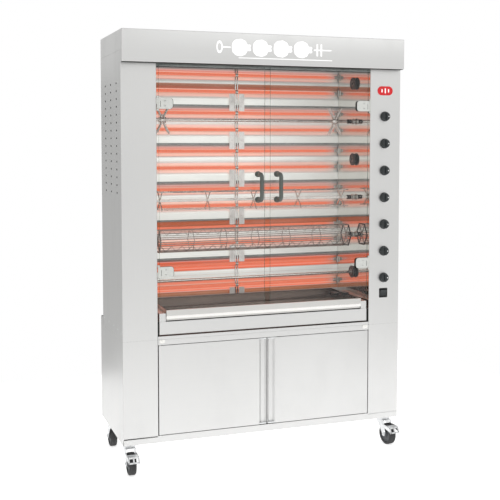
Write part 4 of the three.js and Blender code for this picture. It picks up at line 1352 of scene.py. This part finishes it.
class BuildSpits(bpy.types.Operator):
    """Makes the four spits: the double forks, the skewer carrier, the wire basket and the bare rod"""

    bl_idname = "rotisserie.spits"
    bl_label = "Spits and basket"

    def execute(self, context):
        self.forks(LEVELS[1])
        self.skewers(LEVELS[3])
        self.basket(LEVELS[4])
        rod = Shape()
        self.rod(rod, LEVELS[5], 6, 14)
        rod.build("bare_spit", "spit_drive_6", "spit", "spit_steel", ["plain_spit"], smooth=45)
        return {"FINISHED"}

    def rod(self, shape, z, radius, sides, boss=False):
        """A rod turned from its rest tip to its square tang, which is carried into the drive."""
        profile = [*TIP, (5, -500.4), (radius, -498.5), (radius, 491), (radius - 1.4, 494), (0, 494)]
        shape.lathe(profile, (0, SPIT_Y, z), "x", sides)
        shape.prism(square_bar(z, 6, 1), (492, 508), "x")
        if boss:
            for start in (474, 486):
                collar(shape, z, start, 8, 10.4, 0.8)
        return shape

    def forks(self, z):
        """Two hubs, each with a pair of prongs up and a pair down, either way along the rod: with t
        from hub to point, a prong is 4 + 28 * t ** 1.25 along and 6 + 58 * t out, and thins over its
        last part.
        """
        shape = self.rod(Shape(), z, 7, 20, True)
        half_hub = np.array([(7, 14), (13.8, 14), (14.8, 13), (14.8, 5), (11, 3.5)])
        hub = np.concatenate([half_hub * (1, -1), half_hub[::-1]])
        screw = [(0, 14), (3.6, 14), (3.6, 21), (7, 21.6), (7.4, 25), (6.6, 26), (0, 26)]
        for x in (-445, 406):
            shape.lathe(hub, (x, SPIT_Y, z), "x", 28, 0, closed=True)
            shape.lathe(screw, (x, SPIT_Y, z), "z", 16, 0)
            for way in (-1, 1):
                for u, v in DIAGONALS:
                    t = np.linspace(0, 1, 12)
                    along, out, up = way * (4 + 28 * t ** 1.25), u * (6 + 6 * t), v * (6 + 58 * t)
                    path = np.stack([x + along, SPIT_Y + out, z + up], 1)
                    shape.tube(path, 3.4 * (1 - 0.7 * np.clip(t - 0.85, 0, 1) / 0.15), 10)
        shape.build(
            "double_fork_spit", "spit_drive_2", "spit blackened", "spit_steel", ["fork_spit"], smooth=45
        )

    def skewers(self, z):
        """A square rod with five crosses of flat bar, each with a ring round it, and four skewers
        through their ends.
        """
        shape = self.rod(Shape(), z, 5.6, 16, True)
        shape.prism(square_bar(z, 5.9, 1.2), (-497, 474), "x")
        reach = 43.0
        for x in (-460, -235, -10, 215, 440):
            shape.lathe(
                [(10.4, -2), (12.8, -2), (12.8, 2), (10.4, 2)], (x, SPIT_Y, z), "x", 28, closed=True
            )
            for u, v in ((1, 1), (1, -1)):
                along, square = np.array([u, v]) / math.sqrt(2), np.array([-v, u]) / math.sqrt(2)
                ends = np.array([(-1, -4), (1, -4), (1, 4), (-1, 4)]) * (reach * math.sqrt(2), 1)
                bar = ends @ np.array([along, square]) + (SPIT_Y, z)
                shape.prism(
                    rounded(bar, 2.6, 3, closed=True), (x - 1.4 + 0.2 * u * v, x + 1.4 + 0.2 * u * v),
                    "x",
                )
            for u, v in DIAGONALS:
                eye = (x, SPIT_Y + u * (reach - 4), z + v * (reach - 4))
                shape.lathe(
                    [(2.6, -3.4), (4.6, -3.4), (4.6, 3.4), (2.6, 3.4)], eye, "x", 14, closed=True
                )
        t = np.linspace(-485, 461, 24)
        for u, v in DIAGONALS:
            path = straight(t, SPIT_Y + u * (reach - 4), z + v * (reach - 4))
            shape.tube(path, np.clip((t + 485) / 26, 0.12, 1) * 2.3, 8)
        shape.build(
            "skewer_carrier", "spit_drive_4", "spit blackened", "spit_steel", ["multi_fork_spit"],
            smooth=45,
        )

    def basket(self, z):
        """A six-sided wire basket: hexagon frames, straight wires along it and a zigzag wire in two of
        its faces.
        """
        wire = sizes().wire
        across, length = 98.0, 470.0
        shape = Shape()
        rest_end = [*TIP, (5, -500), (8.6, -499), (8.6, -length), (7.6, 2 - length), (0, 2 - length)]
        drive_end = [(0, length - 2), (7.6, length - 2), (8.6, length), (8.6, 492), (7, 494), (0, 494)]
        for profile in (rest_end, drive_end):
            shape.lathe(profile, (0, SPIT_Y, z), "x", 20)
        shape.prism(square_bar(z, 6, 1), (492, 508), "x")
        for start in (480, 489):
            collar(shape, z, start, 7, 11, 0.6)
        corner = across / math.sqrt(3)
        angle = np.arange(6) * np.pi / 3
        hexagon = np.stack([np.cos(angle), np.sin(angle)], 1) * corner + (SPIT_Y, z)
        for k, x in enumerate(np.linspace(-length, length, 7)):
            ring = rounded(hexagon, 5, 3, closed=True)
            path = np.insert(ring, 0, x, axis=1)
            end = k in (0, 6)
            # The hexagon at the drive end (k == 6) takes the blackened finish: painted shade, so it
            # looks dark against the lit reflector.
            shape.tube(
                path, wire * (1.9 if end else 0.9), 8, 1 if k == 6 else 0, closed=True,
                reference=(1, 0, 0),
            )
            for u in (0, 2, 4) if end else ():
                a, b = hexagon[u], hexagon[(u + 3) % 6]
                bar = a + (b - a) * np.linspace(0.01, 0.99, 5)[:, None]
                shape.tube(np.insert(bar, 0, x, axis=1), wire * 1.5, 8)
        for k in range(6):
            a, b = hexagon[k], hexagon[(k + 1) % 6]
            t = np.linspace(-length, length, 13)
            for share in (0.0, 0.22, 0.41, 0.59, 0.78):
                place = a + (b - a) * share
                inward = (place - (SPIT_Y, z)) * (0.985 if share else 1.0) + (SPIT_Y, z)
                shape.tube(straight(t, *inward), wire * (0.8 if share else 1.0), 6)
        pitch = 49.0
        count = int(2 * length / pitch) * 2
        peak = np.linspace(-length + 4, length - 4, count + 1)
        # The front zigzag (k == 3) takes the blackened finish as painted shade, so it looks dark against
        # the lit reflector; the back one keeps the wire steel.
        for k in (3, 0):
            a, b = hexagon[k], hexagon[(k + 1) % 6]
            share = np.where(np.arange(count + 1) % 2, 0.97, 0.40)[:, None]
            place = a + (b - a) * share
            shape.tube(np.concatenate([peak[:, None], place], 1), wire * 0.75, 6, 1 if k == 3 else 0)
        shape.build(
            "wire_basket", "spit_drive_5", "wire blackened", "spit_steel", ["basket_spit"], smooth=50
        )


class BuildCasters(bpy.types.Operator):
    """Presses the four caster forks and makes their wheels and brake pedals"""

    bl_idname = "rotisserie.casters"
    bl_label = "Casters"

    def execute(self, context):
        for name in ("front_left", "front_right", "rear_left", "rear_right"):
            self.caster(name)
        return {"FINISHED"}

    def caster(self, name):
        top = extent(f"caster_fork_{name}")[2][1]
        rear = name.startswith("rear")
        side = -1 if name.endswith("left") else 1
        yaw = math.pi if rear else (FRONT_RIGHT_YAW if name == "front_right" else 0.0)
        pivot = np.array([side * CASTER_X, CASTER_Y[rear], 0])
        turn = np.array(
            [[math.cos(yaw), math.sin(yaw), 0], [-math.sin(yaw), math.cos(yaw), 0], [0, 0, 1]]
        )

        def place(points):
            return points @ turn + pivot

        hub_middle = (0, -38.0, 50.0)
        metal = Shape()
        head = [
            (0, 110.5), (16, 110.5), (19, 112.6), (26, 114.6), (28.6, 118), (28.6, 121.5),
            (27.6, 122.4), (27.6, 125), (28.6, 126), (28.6, 129.5), (26, top), (0, top),
        ]
        metal.lathe(head, (0, 0, 0), "z", 40)
        leg = rounded(
            [(22, 116), (-34, 116), (-50, 58), (-46, 43), (-38, 39), (-30, 43), (8, 94), (22, 104)],
            [3, 8, 14, 9, 6, 9, 10, 4], 5, closed=True,
        )
        crown = rounded(
            [
                (-22.5, 100), (-22.5, 116), (22.5, 116), (22.5, 100), (20.2, 100), (20.2, 113.7),
                (-20.2, 113.7), (-20.2, 100),
            ],
            [0.5, 5, 5, 0.5, 0.5, 3, 3, 0.5], 4, closed=True,
        )
        for way in (-1, 1):
            metal.prism(leg, (way * 20.1, way * 22.4), "x")
            nut = [
                (0, 22.4), (8.4, 22.4), (8.4, 25.2), (7.6, 26.2), (4.2, 26.2), (4.2, 28.2), (3.4, 28.8),
                (0, 28.8),
            ]
            metal.lathe(np.array(nut) * (1, way), hub_middle, "x", 6 if way > 0 else 24)
        metal.prism(crown, (-33, 20), "y")
        metal.build(
            f"pressed_fork_{name}", f"caster_fork_{name}", "zinc", "zinc_steel",
            [f"caster_fork_{name}"], bevel=(0.7, 2), turn=place,
        )

        tyre = Shape()
        tread = [
            (36.6, 12), (37.6, 15.2), (39, 16.4), (47.2, 14.6), (49.4, 12.6), (49.9, 9), (49.9, 2),
            (49.0, 1.2),
        ]
        disc = [
            (6.8, 18.4), (13, 18.4), (15, 17.4), (16.4, 12.4), (30, 9.4), (34.4, 11.4), (36.8, 12.6)
        ]
        for mark, (half, sides) in enumerate(((np.array(tread), 64), (np.array(disc), 48))):
            tyre.lathe([*half * (1, -1), *half[::-1]], hub_middle, "x", sides, mark, closed=True)
        tyre.build(
            f"rubber_wheel_{name}", f"caster_wheel_{name}", "tyre enamel", "tyre_rubber",
            [f"caster_wheel_{name}"], smooth=40, turn=place,
        )

        if not rear:
            pedal, half = Shape(), 25.3
            arm = rounded(
                [
                    (-24, 97), (-25, 86), (-38, 84), (-92, 72), (-98, 66), (-101, 67.5), (-87, 94.5),
                    (-60, 97),
                ],
                [3, 3, 6, 4, 1, 1, 3, 6], 4, closed=True,
            )
            for way in (-1, 1):
                pedal.prism(arm, (way * 23.0, way * half), "x")
            lip = np.array([(-101, 67.5), (-87, 94.5)])
            along = (lip[1] - lip[0]) / np.linalg.norm(lip[1] - lip[0])
            thick = 2.2 * np.array([along[1], -along[0]])
            for x0, x1 in ((-half, -19), (-3, 3), (19, half)):
                pedal.prism([*lip, lip[1] + thick, lip[0] + thick], (x0, x1), "x")
            for start, end in ((0.0, 7.0), (22.5, 30.4)):
                bar = [lip[0] + along * start, lip[0] + along * end]
                pedal.prism([*bar, bar[1] + thick, bar[0] + thick], (-half, half), "x")
            bridge = [(-89, 94.6), (-62, 97.2), (-62, 95.2), (-87.5, 92.6)]
            pedal.prism(rounded(bridge, 0.6, 2, closed=True), (-half, half), "x")
            pedal.build(
                f"tread_pedal_{name}", f"brake_pedal_{name}", "zinc", "zinc_steel",
                [f"brake_pedal_{name}"], bevel=(0.5, 2), turn=place,
            )


class BuildMarks(bpy.types.Operator):
    """Prints a plain spit picture on the header and fixes the plain oval badge"""

    bl_idname = "rotisserie.marks"
    bl_label = "Header picture and badge"

    def execute(self, context):
        front = HEADER[1][0]
        white = Shape()
        middle, sides = 1878.0, 28

        def blob(points, radius):
            white.prism(
                rounded(points, radius, 5, closed=True) + (0, middle), (front - 0.35, front + 0.2), "y"
            )

        blob([(-226, -3), (-186, -3), (-186, 3), (-226, 3)], 2.5)
        turn = np.arange(sides) * 2 * np.pi / sides
        eye = ((9, 0.2), (9, -0.35), (14.5, -0.35), (14.5, 0.2))
        across, up = np.cos(turn), 1.9 * np.sin(turn)
        ring = np.stack(
            [
                np.stack([-238 + r * across, np.full(sides, front + y), middle + r * up], 1)
                for r, y in eye
            ]
        )
        white.surface(ring, wrap_rows=True, wrap_cols=True)
        roast = np.array(
            [
                (0, 0), (3, -20), (18, -34), (44, -38), (66, -28), (72, -12), (84, -16), (92, -8),
                (84, 0), (92, 8), (84, 16), (72, 12), (66, 28), (44, 38), (18, 34), (3, 20),
            ],
            float,
        )
        for start in (-182, -84, 14, 112):
            blob(roast + (start, 0), 9)
        blob([(210, -3), (286, -3), (304, 0), (286, 3), (210, 3)], 1)
        for x in (222, 242):
            blob([(x, -28), (x + 8, -28), (x + 8, 28), (x, 28)], 3.5)
        blob([(-150, -47), (300, -47), (300, -43), (-150, -43)], 1)
        white.build("header_picture", "root", "white", "white_print")
        badge = Shape()
        x0, x1 = 550.0, 629.0
        oval = loop(x0, x1, 1683, 1725, 20.5, 10)
        rows = [(0, 0.0), (0, -1.6), (0.8, -2.2), (2.2, -2.2)]
        plate = np.array([((x0 + x1) / 2, 1704)])
        grid = np.stack(
            [np.insert((oval - plate) * (1 - d / 40) + plate, 1, y, axis=1) for d, y in rows]
        )
        badge.surface(grid, wrap_cols=True)
        face = grid[-1]
        badge.add(face, [list(range(len(face)))], 0)
        for x, tall in ((-17, 8), (0, 12), (17, 8)):
            badge.prism(loop(x - 3, x + 3, -tall, tall, 2.6) + plate, (-2.6, -2.0), "y", 1)
        badge.build("plain_badge", "root", "red white", "red_enamel", bevel=(0.3, 2))
        return {"FINISHED"}


PROPERTIES = (OvenLooks, OvenSizes)
PIECES = (
    BuildCabinet, BuildCabinetDoors, BuildShell, BuildCavity, BuildGlassDoors, BuildControls,
    BuildDrives, BuildSpits, BuildCasters, BuildMarks,
)
STEPS = (BuildStage, *PIECES)


class RotisseriePanel(bpy.types.Panel):
    """Colours and sizes, then a button for each group of pieces"""

    bl_idname = "VIEW3D_PT_rotisserie"
    bl_label = "Rotisserie oven"
    bl_space_type = "VIEW_3D"
    bl_region_type = "UI"
    bl_category = "Rotisserie"

    def draw(self, context):
        layout = self.layout
        for group in (context.scene.rotisserie_looks, context.scene.rotisserie_sizes):
            for name in group.bl_rna.properties.keys():
                if name not in ("rna_type", "name"):
                    layout.prop(group, name)
        for step in STEPS:
            layout.operator(step.bl_idname)


def register():
    for kind in (*PROPERTIES, *STEPS, RotisseriePanel):
        bpy.utils.register_class(kind)
    bpy.types.Scene.rotisserie_looks = PointerProperty(type=OvenLooks)
    bpy.types.Scene.rotisserie_sizes = PointerProperty(type=OvenSizes)


def unregister():
    del bpy.types.Scene.rotisserie_looks
    del bpy.types.Scene.rotisserie_sizes
    for kind in reversed((*PROPERTIES, *STEPS, RotisseriePanel)):
        bpy.utils.unregister_class(kind)


def main():
    register()
    make_finishes(looks())
    for step in STEPS:
        group, name = step.bl_idname.split(".")
        getattr(getattr(bpy.ops, group), name)()


if __name__ == "__main__":
    main()
